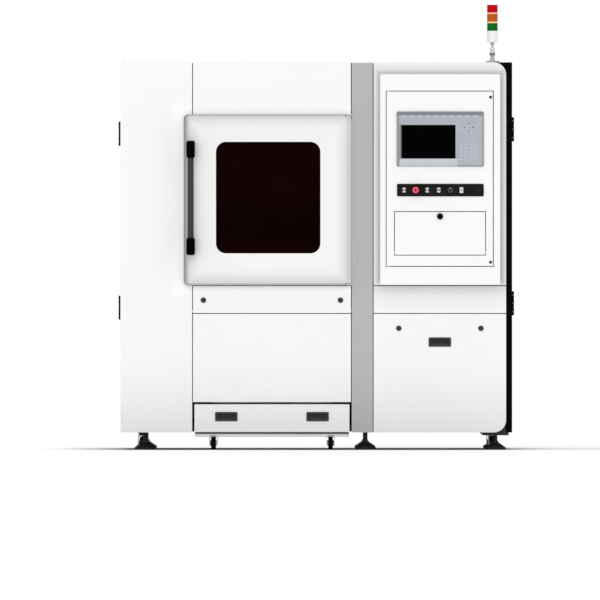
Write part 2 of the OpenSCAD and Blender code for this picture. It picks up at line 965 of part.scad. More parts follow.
// Pillar with the door jamb, the hinge tabs of the door and the pivot pins of its neighbours
module pillar() {
  jamb_z1 = door_z1 - lintel_drop - half_gap;
  color(grey_paint)
    union() {
      box([x_p0, y_f, foot_h], [x_p1 - panel_gap, y_f + pillar_d, z_skin]);
      box([x_p0 - jamb_w, y_f, door_z0], [x_p0, y_f + jamb_d, jamb_z1]);
      for (z = tab_z) {
        z_rod(x_n, y_n, z, z + tab_t, tab_r);
        box([x_n, y_n + 3, z], [x_p0 + tab_foot, y_f, z + tab_t]);
      }
      z_rod(x_n, y_n, door_z0, door_z0 + tab_t + pin_reach, door_pin_r);
      z_rod(x_n, y_n, door_z1 - tab_t - pin_reach, door_z1, door_pin_r);
      x_rod(bay_x1 - boss_l + cut, x_p0, pivot_py, flap_pz, pivot_r);
      x_rod(x_p1 - panel_gap, x_p1 + boss_l - cut, pivot_py, lower_pz, pivot_r);
    }
}

// Roof sheet of the cutting cabinet
module roof_panel() {
  color(white_paint)
    box([x_l, y_f, z_skin], [x_p1, y_r, top_z]);
}

// Rear sheet of the cutting cabinet with the exhaust hole
module rear_panel() {
  color(white_paint)
    difference() {
      box([x_l + sheet_t, y_r - sheet_t, foot_h], [x_p1, y_r, z_skin]);
      y_rod(bay_mid, y_r - sheet_t - cut, y_r + cut, spigot_z(), spigot_r - sheet_t);
    }
}

// Height of the exhaust spigot
function spigot_z() = top_z - spigot_drop;

// Exhaust spigot on the rear sheet
module exhaust_spigot() {
  spigot_flange = 28;
  color(steel)
    difference() {
      union() {
        y_rod(bay_mid, y_r, y_r + sheet_t, spigot_z(), spigot_r + spigot_flange);
        y_rod(bay_mid, y_r, y_r + spigot_len, spigot_z(), spigot_r);
      }
      y_rod(bay_mid, y_r - cut, y_r + spigot_len + cut, spigot_z(), spigot_r - sheet_t);
    }
}

// Black body of the control cabinet with floor, front flange and pivot ear
module cabinet_body() {
  vent_x = (x_cab + x_r - vent_w) / 2;
  vent_z = top_z - vent_drop;
  color(black_paint)
    difference() {
      union() {
        box([x_cab, y_flange, z_rail], [x_cab + sheet_t, y_r, top_z]);
        box([x_r - sheet_t, y_flange, foot_h], [x_r, y_r, top_z]);
        box([x_cab, y_r - sheet_t, z_rail], [x_r, y_r, top_z]);
        box([x_cab, y_flange, top_z - sheet_t], [x_r, y_r, top_z]);
        box([x_cab, y_flange, z_rail], [x_r, y_r, z_rail + floor_t]);
        box([x_fr - cut, y_flange, foot_h], [x_r, y_body, top_z]);
        box([x_cab, y_flange, z_rail], [x_cab + flange_w, y_body, top_z]);
        box([x_cab, y_flange, top_z - flange_w], [x_r, y_body, top_z]);
        box([x_cab, y_flange, z_rail - flange_w], [x_r, y_body, z_rail + flange_w]);
        box([x_cab, y_flange, lower_z1 - flange_w], [x_r, y_body, con_z0 + flange_w]);
        box([ear_x, y_flange, lower_pz - ear_r], [ear_x + ear_w, y_body, z_rail]);
        box([ear_x, pivot_py, lower_pz - ear_r], [ear_x + ear_w, y_body, lower_pz + ear_r]);
        x_rod(ear_x, ear_x + ear_w, pivot_py, lower_pz, ear_r);
        x_rod(ear_x - boss_l, ear_x + ear_w, pivot_py, lower_pz, pivot_r);
      }
      side_hole();
      for (i = [0:vent_n - 1])
        box(
          [vent_x, y_r - sheet_t - cut, vent_z + i * vent_step],
          [vent_x + vent_w, y_r + cut, vent_z + i * vent_step + vent_h]
        );
    }
}

// White fascia above the seam
module control_fascia() {
  color(white_paint)
    corner_pan(band_z1 + half_gap, top_z, pan_d, true, false);
}

// White strip between the two seams
module fascia_strip() {
  color(white_paint)
    pan(x_p1, x_fr, flap_z0, flap_z1, y_f, pan_d);
}

// Lower panel of the control cabinet, tipping forward on its lower edge
module lower_panel() {
  boss_r = ear_x - ear_gap;
  color(white_paint)
    difference() {
      union() {
        corner_pan(lower_z0, lower_z1, leaf_d, false, true);
        box([x_p1, y_f, lower_z0], [x_p1 + boss_l, y_f + leaf_d, lower_z0 + boss_h]);
        box([boss_r - boss_l, y_f, lower_z0], [boss_r, y_f + leaf_d, lower_z0 + boss_h]);
      }
      x_rod(x_p1 - cut, x_p1 + boss_l + cut, pivot_py, lower_pz, pivot_r + run_fit);
      x_rod(boss_r - boss_l - cut, boss_r + cut, pivot_py, lower_pz, pivot_r + run_fit);
      box(
        [ear_x - ear_gap, y_f + sheet_t, lower_z0 - cut],
        [ear_x + ear_w + ear_gap, y_f + leaf_d + cut, lower_z0 + sheet_t + cut]
      );
      for (s = [-1, 1])
        lock_hole(lower_mid + s * lock_half, band_z0 - lock_drop);
      pull_hole(lower_mid, band_z0 - pull_drop);
    }
}

// Quarter-turn locks of the lower panel
module lower_locks() {
  color(black_paint)
    for (s = [-1, 1])
      lock(lower_mid + s * lock_half, band_z0 - lock_drop);
}

// Flush pull of the lower panel
module lower_pull() {
  color(steel)
    flush_pull(lower_mid, band_z0 - pull_drop);
}

// One layer of the crowned front door
module door_layer(i) {
  a = 90 * i / crown_n;
  inset = crown_w * (1 - cos(a));
  depth = rim_t + crown_h * sin(a);
  w = x_n - x_d0 - 2 * inset;
  h = door_h - 2 * inset;
  translate([x_n - inset, y_db, door_z0 + inset])
    rotate([90, 0, 0])
      linear_extrude(height = depth)
        mirror([1, 0])
          corner_rect(w, h, door_r, true, true);
}

// Front door: crowned shell with window rebate, hinge nose and handle seats
module front_door() {
  bore = tab_t + pin_reach + cut;
  color(white_paint)
    difference() {
      union() {
        hull()
          for (i = [0:crown_n])
            door_layer(i);
        z_rod(x_n, y_n, door_z0, door_z1, nose_r);
      }
      front_plate(win_x0, win_x1, win_z0, win_z1, y_df - cut, y_db + cut, win_r);
      front_plate(
        win_x0 - rebate, win_x1 + rebate, win_z0 - rebate, win_z1 + rebate,
        y_glass, y_db + cut, win_r + rebate
      );
      for (z = tab_z)
        box(
          [x_n - tab_r - tab_gap, y_df - cut, z - tab_gap],
          [x_n + nose_r + cut, y_db + 2 * cut, z + tab_t + tab_gap]
        );
      z_rod(x_n, y_n, door_z0 - cut, door_z0 + bore, door_pin_r + run_fit);
      z_rod(x_n, y_n, door_z1 - bore, door_z1 + cut, door_pin_r + run_fit);
      for (z = bracket_z)
        box(
          [handle_x - bracket_w / 2 - seat_fit, y_df - cut, z - bracket_h / 2 - seat_fit],
          [handle_x + bracket_w / 2 + seat_fit, y_pk, z + bracket_h / 2 + seat_fit]
        );
    }
}

// Safety window pane
module door_window() {
  edge = rebate - seat_fit;
  color(smoked)
    front_plate(
      win_x0 - edge, win_x1 + edge, win_z0 - edge, win_z1 + edge,
      y_glass, y_glass + glass_t, win_r + edge
    );
}

// Outline of the handle bar, grown by a clearance, from one height to another
module bar_shape(grow, z0, z1) {
  translate([handle_x - bar_w / 2 - grow, y_hf + bar_in - grow, z0])
    linear_extrude(height = z1 - z0)
      round_rect(bar_w + 2 * grow, bar_d + 2 * grow, bar_r + grow);
}

// Handle bar
module handle_bar() {
  color(dark_grey)
    bar_shape(0, handle_z - handle_l / 2 + bar_end, handle_z + handle_l / 2 - bar_end);
}

// Handle brackets with their sockets
module handle_brackets() {
  color(black_paint)
    difference() {
      for (z = bracket_z)
        front_plate(
          handle_x - bracket_w / 2, handle_x + bracket_w / 2, z - bracket_h / 2, z + bracket_h / 2,
          y_hf, y_pk, bracket_r
        );
      bar_shape(free_fit, handle_z - handle_l / 2 + bar_end, handle_z + handle_l / 2 - bar_end);
    }
}

// Front flap under the door, tipping forward on its lower edge
module front_flap() {
  color(white_paint)
    difference() {
      union() {
        pan(bay_x0, bay_x1, flap_z0, flap_z1, y_f, leaf_d);
        box([bay_x0, y_f, flap_z0], [bay_x0 + boss_l, y_f + leaf_d, flap_z0 + boss_h]);
        box([bay_x1 - boss_l, y_f, flap_z0], [bay_x1, y_f + leaf_d, flap_z0 + boss_h]);
      }
      x_rod(bay_x0 - cut, bay_x0 + boss_l + cut, pivot_py, flap_pz, pivot_r + run_fit);
      x_rod(bay_x1 - boss_l - cut, bay_x1 + cut, pivot_py, flap_pz, pivot_r + run_fit);
      lock_hole(x_seam + lock_in, band_z0 + lock_rise);
      lock_hole(x_p0 - lock_in, band_z0 + lock_rise);
    }
}

// Quarter-turn locks of the front flap
module flap_locks() {
  color(black_paint)
    for (x = [x_seam + lock_in, x_p0 - lock_in])
      lock(x, band_z0 + lock_rise);
}

// Console box with the door opening and its two pivot pins
module console_box() {
  top_b = cd_z1 + panel_gap;
  low_b = cd_z0 - panel_gap;
  color(white_paint)
    union() {
      difference() {
        front_plate(con_x0, con_x1, con_z0, con_z1, y_c, y_f, console_r);
        front_plate(
          con_x0 + sheet_t, con_x1 - sheet_t, con_z0 + sheet_t, con_z1 - sheet_t,
          y_c + sheet_t, y_f + cut, console_r - sheet_t
        );
        box([cd_x0 - panel_gap, y_c - cut, low_b], [cd_x1 + panel_gap, y_c + 2 * sheet_t, top_b]);
      }
      box([cd_x0 - panel_gap, y_c, top_b], [cd_x0 + block_w, y_c + block_d, top_b + block_h]);
      box([cd_x0 - panel_gap, y_c, low_b - block_h], [cd_x0 + block_w, y_c + block_d, low_b]);
      z_rod(cd_px, cd_py, cd_z1 - pin_in, top_b + block_h / 2, pivot_r);
      z_rod(cd_px, cd_py, low_b - block_h / 2, cd_z0 + pin_in, pivot_r);
    }
}

// Console door with its cut-outs, the keyboard pocket and the flap's pivot pins
module console_door() {
  wall = panel_gap + sheet_t;
  color(white_paint)
    union() {
      difference() {
        union() {
          pan(cd_x0, cd_x1, cd_z0, cd_z1, y_c, leaf_d);
          box([cd_x0, y_c, cd_z0], [cd_x0 + block_w, y_c + leaf_d, cd_z0 + boss_h]);
          box([cd_x0, y_c, cd_z1 - boss_h], [cd_x0 + block_w, y_c + leaf_d, cd_z1]);
          box([kf_x0 - wall, y_c, kf_z0 - wall], [kf_x1 + wall, y_c + pocket_d + sheet_t, kf_z1 + wall]);
        }
        box(
          [kf_x0 - panel_gap, y_c - cut, kf_z0 - panel_gap],
          [kf_x1 + panel_gap, y_c + pocket_d, kf_z1 + panel_gap]
        );
        z_rod(cd_px, cd_py, cd_z0 - cut, cd_z0 + pin_in + cut, pivot_r + run_fit);
        z_rod(cd_px, cd_py, cd_z1 - pin_in - cut, cd_z1 + cut, pivot_r + run_fit);
        box(
          [dp_x0 + disp_margin - seat_fit, y_c - cut, dp_z0 + disp_margin - seat_fit],
          [dp_x1 - disp_margin + seat_fit, y_c + leaf_d, dp_z1 - disp_margin + seat_fit]
        );
        box([sp_x0 + sp_cut, y_c - cut, sp_z0 + sp_cut], [sp_x1 - sp_cut, y_c + leaf_d, sp_z1 - sp_cut]);
      }
      x_rod(kf_x0 - wall, kf_x0 + boss_l - cut, kf_py, kf_pz, kf_pin);
      x_rod(kf_x1 - boss_l + cut, kf_x1 + wall, kf_py, kf_pz, kf_pin);
    }
}

// Keyboard flap, tipping forward on its lower edge
module keyboard_flap() {
  color(white_paint)
    difference() {
      union() {
        pan(kf_x0, kf_x1, kf_z0, kf_z1, y_c, kf_d);
        box([kf_x0, y_c, kf_z0], [kf_x0 + boss_l, y_c + kf_d, kf_z0 + kf_boss_h]);
        box([kf_x1 - boss_l, y_c, kf_z0], [kf_x1, y_c + kf_d, kf_z0 + kf_boss_h]);
      }
      x_rod(kf_x0 - cut, kf_x0 + boss_l + cut, kf_py, kf_pz, kf_pin + run_fit);
      x_rod(kf_x1 - boss_l - cut, kf_x1 + cut, kf_py, kf_pz, kf_pin + run_fit);
      y_rod(klock_x, y_c - cut, y_c + sheet_t + cut, klock_z, klock_shaft + run_fit);
    }
}

// Turning lock of the keyboard flap with its cam
module keyboard_lock() {
  color(black_paint)
    difference() {
      union() {
        y_rod(klock_x, y_c - klock_out, y_c - free_fit, klock_z, klock_r);
        y_rod(klock_x, y_c - cut, y_c + klock_in, klock_z, klock_shaft);
        box(
          [klock_x - cam_w / 2, y_c + klock_in - cam_t, klock_z],
          [klock_x + cam_w / 2, y_c + klock_in, klock_z + cam_l]
        );
      }
      box(
        [klock_x - lock_slot / 2, y_c - klock_out - cut, klock_z - barrel_r / 2],
        [klock_x + lock_slot / 2, y_c - klock_out + lock_proud, klock_z + barrel_r / 2]
      );
    }
}

// Display panel with screen recess, membrane keys and rear housing
module display_panel() {
  y0 = y_c - disp_t;
  color(panel_silver)
    union() {
      difference() {
        union() {
          front_plate(dp_x0, dp_x1, dp_z0, dp_z1, y0, y_c, disp_r);
          box(
            [dp_x0 + disp_margin, y_c, dp_z0 + disp_margin],
            [dp_x1 - disp_margin, y_c + disp_back, dp_z1 - disp_margin]
          );
        }
        box([sc_x0, y0 - cut, sc_z0], [sc_x0 + screen_w, y0 + screen_in, sc_z0 + screen_h]);
      }
      for (i = [0:top_key_n - 1])
        box(
          [sc_x0 + i * top_key_step, y0 - key_t, top_key_z],
          [sc_x0 + i * top_key_step + top_key_w, y0, top_key_z + key_h]
        );
      for (i = [0:key_cols - 1], j = [0:key_rows - 1])
        box(
          [key_x0 + i * key_step_x, y0 - key_t, key_z0 + j * key_step_z],
          [key_x0 + i * key_step_x + key_w, y0, key_z0 + j * key_step_z + key_h]
        );
      for (d = [[-1, 0], [1, 0], [0, -1], [0, 1]])
        y_rod(arrow_x + d[0] * arrow_step, y0 - key_t, y0, arrow_z + d[1] * arrow_step, arrow_r);
    }
}

// Screen glass
module screen_glass() {
  y1 = y_c - disp_t + screen_in;
  color(black_paint)
    box(
      [sc_x0 + seat_fit, y1 - screen_t, sc_z0 + seat_fit],
      [sc_x0 + screen_w - seat_fit, y1, sc_z0 + screen_h - seat_fit]
    );
}

// Place of a control on the switch plate
function switch_x(k) = sp_x0 + switch_first + k * switch_pitch;

// Switch plate with bezel rings and a data port
module switch_plate() {
  y0 = y_c - switch_t;
  px = switch_x(5);
  color(black_paint)
    difference() {
      union() {
        front_plate(sp_x0, sp_x1, sp_z0, sp_z1, y0, y_c, port_r);
        for (k = [0, 2, 3])
          y_rod(switch_x(k), y0 - bezel_h, y0, sp_z, bezel_r);
        y_rod(switch_x(1), y0 - stop_ring_h, y0, sp_z, stop_ring);
        front_plate(
          px - port_w / 2, px + port_w / 2, sp_z - port_h / 2, sp_z + port_h / 2,
          y0 - port_t, y0, port_r
        );
      }
      for (k = [0, 2, 3])
        y_rod(switch_x(k), y0 - bezel_h - cut, y_c + cut, sp_z, button_r + free_fit);
      y_rod(switch_x(1), y0 - bezel_h - cut, y_c + cut, sp_z, stop_stem + free_fit);
      y_rod(switch_x(4), y0 - cut, y_c + cut, sp_z, knob_shaft + free_fit);
    }
}

// Push button cap
module button_cap(k) {
  y_rod(switch_x(k), y_c - cap_out, y_c + cap_in, sp_z, button_r);
}

// White push button
module white_button() {
  color(white_paint)
    button_cap(0);
}

// Green push button
module green_button() {
  color(green)
    button_cap(2);
}

// Emergency stop with its mushroom head
module e_stop() {
  x = switch_x(1);
  edge = 4;
  color(red)
    union() {
      y_rod(x, y_c - stop_out + edge, y_c - stop_out + stop_t, sp_z, stop_r);
      y_rod(x, y_c - stop_out, y_c - stop_out + edge, sp_z, stop_r - edge);
      y_rod(x, y_c - stop_out + stop_t, y_c + cap_in, sp_z, stop_stem);
    }
}

// Key switch rotor with its key slot
module key_switch() {
  x = switch_x(3);
  color(steel)
    difference() {
      button_cap(3);
      box(
        [x - key_slot_w / 2, y_c - cap_out - cut, sp_z - key_slot_h / 2],
        [x + key_slot_w / 2, y_c - cap_out + key_slot_d, sp_z + key_slot_h / 2]
      );
    }
}

// Selector knob with its grip
module selector_knob() {
  x = switch_x(4);
  y1 = y_c - switch_t - free_fit;
  color(black_paint)
    union() {
      y_rod(x, y1 - knob_t, y1, sp_z, knob_r);
      box([x - grip_w / 2, y1 - knob_t - grip_t, sp_z - knob_r], [x + grip_w / 2, y1 - knob_t, sp_z + knob_r]);
      y_rod(x, y1, y_c + cap_in, sp_z, knob_shaft);
    }
}

// Scrap trolley: front panel and open tray
module scrap_tray() {
  wall = sheet_t;
  color(white_paint)
    difference() {
      union() {
        box([tf_x0, y_f, tf_z0], [tf_x1, ty_0, tf_z1]);
        box([tf_x0 + tray_in, ty_0, tray_z], [tf_x1 - tray_in, ty_1, tray_rim]);
      }
      box([tf_x0 + wall, y_f + wall, tf_z0 + wall], [tf_x1 - wall, ty_0 - wall, tf_z1 - wall]);
      box([tf_x0 + tray_in + wall, ty_0 + wall, tray_z + wall], [tf_x1 - tray_in - wall, ty_1 - wall, tray_rim + cut]);
      for (s = [-1, 1])
        pull_hole(bay_mid + s * tray_pull_half, tray_pull_z);
    }
}

// Flush pulls of the scrap trolley
module tray_pulls() {
  color(steel)
    for (s = [-1, 1])
      flush_pull(bay_mid + s * tray_pull_half, tray_pull_z);
}

// Rigid castor forks of the scrap trolley with their axles
module castor_forks() {
  color(steel)
    for (s = [-1, 1], y = tray_castor_y)
      translate([bay_mid + s * castor_half, y, 0])
        union() {
          box([-fork_w / 2, -fork_l / 2, tray_z - fork_t], [fork_w / 2, fork_l / 2, tray_z]);
          for (k = [-1, 1])
            translate([k * (fork_w - fork_t) / 2, 0, 0])
              box([-fork_t / 2, -leg_l / 2, wheel_r - leg_drop], [fork_t / 2, leg_l / 2, tray_z]);
          x_rod(-fork_w / 2, fork_w / 2, 0, wheel_r, axle_r);
        }
}

// Pair of trolley wheels on one axis
module wheel_pair(y) {
  hub = fork_w / 2 - fork_t - hub_gap;
  for (s = [-1, 1])
    translate([bay_mid + s * castor_half, y, 0])
      difference() {
        union() {
          x_rod(-tread_w / 2, tread_w / 2, 0, wheel_r, wheel_r);
          x_rod(-hub, hub, 0, wheel_r, hub_r);
        }
        x_rod(-fork_w, fork_w, 0, wheel_r, axle_r + run_fit);
      }
}

// Front wheels of the scrap trolley
module front_wheels() {
  color(black_paint)
    wheel_pair(tray_castor_y[0]);
}

// Rear wheels of the scrap trolley
module rear_wheels() {
  color(black_paint)
    wheel_pair(tray_castor_y[1]);
}

// Left side door
module left_side_door() {
  color(white_paint)
    mirror([1, 0, 0])
      side_leaf(hinge_z_left);
}

// Right side door
module right_side_door() {
  color(black_paint)
    side_leaf(hinge_z_right);
}

// Fixed halves of the side hinges
module side_hinges() {
  color(black_paint) {
    for (k = [0, 1])
      hinge_fixed(hinge_z_right + k * hinge_pitch);
    mirror([1, 0, 0])
      for (k = [0, 1])
        hinge_fixed(hinge_z_left + k * hinge_pitch);
  }
}

// Machine bed: two beams on legs with a deck between them
module machine_bed() {
  leg_y = [castor_y0 - leg_w / 2, bed_y1 - tube];
  color(grey_paint)
    difference() {
      union() {
        box([bed_xl, bed_y0, bed_low], [bed_xl + beam_w, bed_y1, bed_z]);
        box([bed_xr - beam_w, bed_y0, bed_low], [bed_xr, bed_y1, bed_z]);
        box([bed_xl, bed_y0, deck_z - deck_t], [bed_xr, deck_rear, deck_z]);
        box([bed_xl, bed_y1 - tube, bed_low], [bed_xr, bed_y1, deck_z - deck_t]);
        for (y = leg_y) {
          box([bed_xl, y, z_rail], [bed_xl + leg_w, y + leg_w, bed_low]);
          box([x_p0, y, z_rail], [x_p0 + leg_w, y + leg_w, bed_low]);
        }
      }
      box(
        [work_x0 + hole_in, work_y0 + hole_in, deck_z - deck_t - cut],
        [work_x1 - hole_in, work_y1 - hole_in, deck_z + cut]
      );
    }
}

// Slat frame with a comb of seats for the slats
module slat_frame() {
  top = slat_z - 20;
  color(dark_grey)
    difference() {
      box(
        [work_x0 - slat_bar, work_y0 - slat_bar, deck_z],
        [work_x1 + slat_bar, work_y1 + slat_bar, top]
      );
      box([work_x0, work_y0, deck_z - cut], [work_x1, work_y1, top + cut]);
      for (i = [0:slat_n - 1])
        box(
          [work_x0 - slat_seat - seat_fit, slat_y(i) - seat_fit, slat_low],
          [work_x1 + slat_seat + seat_fit, slat_y(i) + slat_t + seat_fit, top + cut]
        );
    }
}

// Place of a slat along the depth
function slat_y(i) = work_y0 + slat_first + i * slat_step;

// Sawtooth slats that carry the sheet
module slats() {
  l = work_w + 2 * slat_seat;
  p = l / tooth_n;
  h = slat_z - slat_low;
  teeth = [for (i = [0:tooth_n - 1]) each [[(i + 0.5) * p, h], [(i + 1) * p, h - tooth_h]]];
  color(steel)
    for (i = [0:slat_n - 1])
      translate([work_x0 - slat_seat, slat_y(i) + slat_t, slat_low])
        rotate([90, 0, 0])
          linear_extrude(height = slat_t)
            polygon(concat([[l, 0], [0, 0], [0, h - tooth_h]], teeth));
}

// Solid between the chute's upper and lower mouths, grown by its wall
module chute_solid(grow, over) {
  z1 = deck_z - deck_t;
  hull() {
    box(
      [work_x0 + hole_in - grow, work_y0 + hole_in - grow, z1 - cut],
      [work_x1 - hole_in + grow, work_y1 - hole_in + grow, z1 + over]
    );
    box(
      [work_x0 + chute_in - grow, work_y0 + chute_in - grow, chute_z0 - over],
      [work_x1 - chute_in + grow, work_y1 - chute_in + grow, chute_z0 + cut]
    );
  }
}

// Scrap chute from the deck down to the trolley
module scrap_chute() {
  z1 = deck_z - deck_t;
  f = chute_t + chute_flange;
  color(steel)
    difference() {
      union() {
        chute_solid(chute_t, 0);
        box(
          [work_x0 + hole_in - f, work_y0 + hole_in - f, z1 - chute_ft],
          [work_x1 - hole_in + f, work_y1 - hole_in + f, z1]
        );
      }
      chute_solid(0, cut);
    }
}

// Rails of the long axis
module long_rails() {
  color(steel)
    for (x = [rail_xl, rail_xr])
      box([x - rail_w / 2, rail_y0, bed_z], [x + rail_w / 2, rail_y1, rail_top]);
}

// Gantry beam with its two saddles
module gantry_beam() {
  color(white_paint)
    union() {
      box([rail_xl - saddle_w / 2, beam_y0, beam_z0], [rail_xr + saddle_w / 2, beam_y1, beam_z1]);
      for (x = [rail_xl, rail_xr])
        box(
          [x - saddle_w / 2, beam_ym - saddle_l / 2, block_top],
          [x + saddle_w / 2, beam_ym + saddle_l / 2, beam_z0]
        );
    }
}

// Guide blocks under the gantry and cross rails on its front
module gantry_guides() {
  color(steel) {
    for (x = [rail_xl, rail_xr], s = [-1, 1])
      translate([x, beam_ym + s * block_off, 0])
        difference() {
          box([-block_wx / 2, -block_ly / 2, block_low], [block_wx / 2, block_ly / 2, block_top]);
          box(
            [-rail_w / 2 - free_fit, -block_ly, block_low - cut],
            [rail_w / 2 + free_fit, block_ly, rail_top + free_fit]
          );
        }
    for (z = cross_z)
      box(
        [head_x - cross_half, beam_y0 - cross_rail, z - cross_rail / 2],
        [head_x + cross_half, beam_y0, z + cross_rail / 2]
      );
  }
}

// Cross carriage with its guide blocks and the two lift rails
module cross_carriage() {
  y1 = car_y0 + car_t;
  color(dark_grey)
    difference() {
      union() {
        box([head_x - car_half, car_y0, beam_z0], [head_x + car_half, y1, car_z1]);
        for (z = cross_z, s = [-1, 1])
          translate([head_x + s * (car_half - car_block_l / 2), 0, z])
            box(
              [-car_block_l / 2, y1, -car_block_h / 2],
              [car_block_l / 2, beam_y0 - car_block_gap, car_block_h / 2]
            );
        for (s = [-1, 1])
          translate([head_x + s * lift_rail_x, 0, 0])
            box([-lift_rail_w / 2, car_y0 - lift_rail_t, lift_z0], [lift_rail_w / 2, car_y0, car_z1]);
      }
      for (z = cross_z)
        box(
          [head_x - car_half - cut, beam_y0 - cross_rail - free_fit, z - cross_rail / 2 - free_fit],
          [head_x + car_half + cut, beam_y0, z + cross_rail / 2 + free_fit]
        );
    }
}

// Height slide with guide blocks and the clamps of the cutting head
module height_slide() {
  y1 = lift_y0 + lift_t;
  color(panel_silver)
    difference() {
      union() {
        box([head_x - lift_half, lift_y0, lift_low], [head_x + lift_half, y1, lift_high]);
        for (s = [-1, 1])
          translate([head_x + s * lift_rail_x, 0, lift_block_z])
            box([-lift_block_w / 2, y1, 0], [lift_block_w / 2, car_y0 - car_block_gap, lift_block_l]);
        for (z = clamp_z)
          box([head_x - clamp_w, head_y - clamp_w / 2, z], [head_x + clamp_w, lift_y0, z + clamp_h]);
      }
      for (s = [-1, 1])
        translate([head_x + s * lift_rail_x, 0, lift_block_z])
          box(
            [-lift_rail_w / 2 - free_fit, car_y0 - lift_rail_t - free_fit, -cut],
            [lift_rail_w / 2 + free_fit, car_y0, lift_block_l + cut]
          );
      z_rod(head_x, head_y, lift_low, lift_high, head_r + free_fit);
    }
}

// Cutting head: connector, collimator, focusing body and nozzle holder
module cutting_head() {
  h1 = head_z + head_cone;
  h2 = h1 + head_body;
  h3 = h2 + head_cap;
  h4 = h3 + head_plug;
  color(dark_grey)
    translate([head_x, head_y, 0])
      rotate_extrude()
        polygon([
          [0, head_z], [nozzle_r, head_z], [nozzle_r + 6, head_z + 22], [head_r, h1], [head_r, h2],
          [head_r - 8, h2 + 8], [head_r - 8, h3], [head_r - 18, h3 + 6], [head_r - 18, h4], [0, h4]
        ]);
}

// Copper nozzle
module nozzle() {
  color(copper)
    translate([head_x, head_y, 0])
      rotate_extrude()
        polygon([
          [nozzle_bore, head_z - nozzle_h], [nozzle_tip, head_z - nozzle_h],
          [nozzle_r, head_z - 5], [nozzle_r, head_z], [nozzle_bore, head_z]
        ]);
}

// Laser source on the cabinet floor
module laser_source() {
  z0 = z_rail + floor_t;
  x1 = laser_x0 + laser_w;
  recess = 12;
  fan_r = 55;
  color(dark_grey)
    difference() {
      box([laser_x0, laser_y0, z0], [x1, laser_y0 + laser_l, z0 + laser_h]);
      for (k = [1, 3])
        y_rod(laser_x0 + k * laser_w / 4, laser_y0 - cut, laser_y0 + recess, z0 + laser_h / 2, fan_r);
    }
}

// Electrical plate with drives and cable ducts
module electrical_plate() {
  x0 = x_cab + sheet_t;
  x1 = x0 + sheet_t;
  duct = 40;
  color(panel_silver)
    union() {
      box([x0, plate_y0, plate_z0], [x1, plate_y0 + plate_l, plate_z0 + plate_h]);
      for (i = [0:drive_n - 1])
        translate([0, plate_y0 + duct + i * drive_step, plate_z0 + plate_h / 2])
          box([x1, 0, 0], [x1 + drive_d, drive_w, drive_h]);
      for (k = [0, 1])
        box(
          [x1, plate_y0 + duct, plate_z0 + duct + k * plate_h / 3],
          [x1 + duct, plate_y0 + plate_l - duct, plate_z0 + 2 * duct + k * plate_h / 3]
        );
    }
}

// Folding foot of the tower light with its pin
module tower_foot() {
  yoke_z0 = collar_z0 + collar_h;
  color(steel)
    translate([tower_x, tower_y, 0])
      union() {
        cylinder_at(top_z, flange_t, flange_r);
        translate([0, 0, top_z + flange_t])
          cylinder(h = collar_z0 - top_z - flange_t, r1 = cone_r1, r2 = cone_r0);
        cylinder_at(collar_z0, collar_h, collar_r);
        difference() {
          union() {
            cylinder_at(yoke_z0, fold_z - yoke_z0, fold_half);
            translate([0, 0, fold_z])
              cylinder(h = fold_top, r1 = fold_half, r2 = fold_half - fold_top / 2);
          }
          box(
            [-tongue_half - tongue_gap, -fold_half - cut, fold_z - tongue_r - tongue_gap],
            [tongue_half + tongue_gap, fold_half + cut, fold_z + fold_top + cut]
          );
        }
        x_rod(1 - fold_half, fold_half - 1, 0, fold_z, pivot_r);
      }
}

// Base of the tower light with its folding tongue, neck, core and rings
module tower_base() {
  color(white_paint)
    translate([tower_x, tower_y, 0])
      difference() {
        union() {
          x_rod(-tongue_half, tongue_half, 0, fold_z, tongue_r);
          box([-tongue_half, -neck_r, fold_z], [tongue_half, neck_r, neck_z + cut]);
          cylinder_at(neck_z, base_z0 - neck_z, neck_r);
          cylinder_at(base_z0, base_h, tower_r);
          cylinder_at(base_z0, lens_z[2] - base_z0 + lens_h / 2, core_r);
          for (z = lens_z)
            cylinder_at(z - ring_h, ring_h, tower_r - 0.5);
        }
        x_rod(-fold_half, fold_half, 0, fold_z, pivot_r + run_fit);
      }
}

// Lens ring of the tower light
module lens(i) {
  translate([tower_x, tower_y, 0])
    difference() {
      cylinder_at(lens_z[i], lens_h, tower_r);
      cylinder_at(lens_z[i] - cut, lens_h + 2 * cut, core_r + free_fit);
    }
}

// Green lens
module green_lens() {
  color(green)
    lens(0);
}

// Amber lens
module amber_lens() {
  color(amber)
    lens(1);
}

// Red lens with its closed top
module red_lens() {
  color(red)
    translate([tower_x, tower_y, 0])
      difference() {
        cylinder_at(lens_z[2], lens_h, tower_r);
        cylinder_at(lens_z[2] - cut, lens_h / 2 + cut + free_fit, core_r + free_fit);
      }
}

welded_frame();
levelling_feet();
transport_castors();
left_corner_panel();
upper_front_panel();
lower_front_panel();
pillar();
roof_panel();
rear_panel();
exhaust_spigot();
cabinet_body();
control_fascia();
fascia_strip();
lower_panel();
lower_locks();
lower_pull();
front_door();
door_window();
handle_bar();
handle_brackets();
front_flap();
flap_locks();
console_box();
console_door();
keyboard_flap();
keyboard_lock();
display_panel();
screen_glass();
switch_plate();
white_button();
green_button();
e_stop();
key_switch();
selector_knob();
scrap_tray();
tray_pulls();
castor_forks();
front_wheels();
rear_wheels();
left_side_door();
right_side_door();
side_hinges();
machine_bed();
slat_frame();
slats();
scrap_chute();
long_rails();
gantry_beam();
gantry_guides();
cross_carriage();
height_slide();
cutting_head();
nozzle();
laser_source();
electrical_plate();
tower_foot();
tower_base();
green_lens();
amber_lens();
red_lens();
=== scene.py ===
"""Looks of a compact enclosed fiber laser cutting machine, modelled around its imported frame."""

import math

import bpy
from mathutils import Matrix, Vector


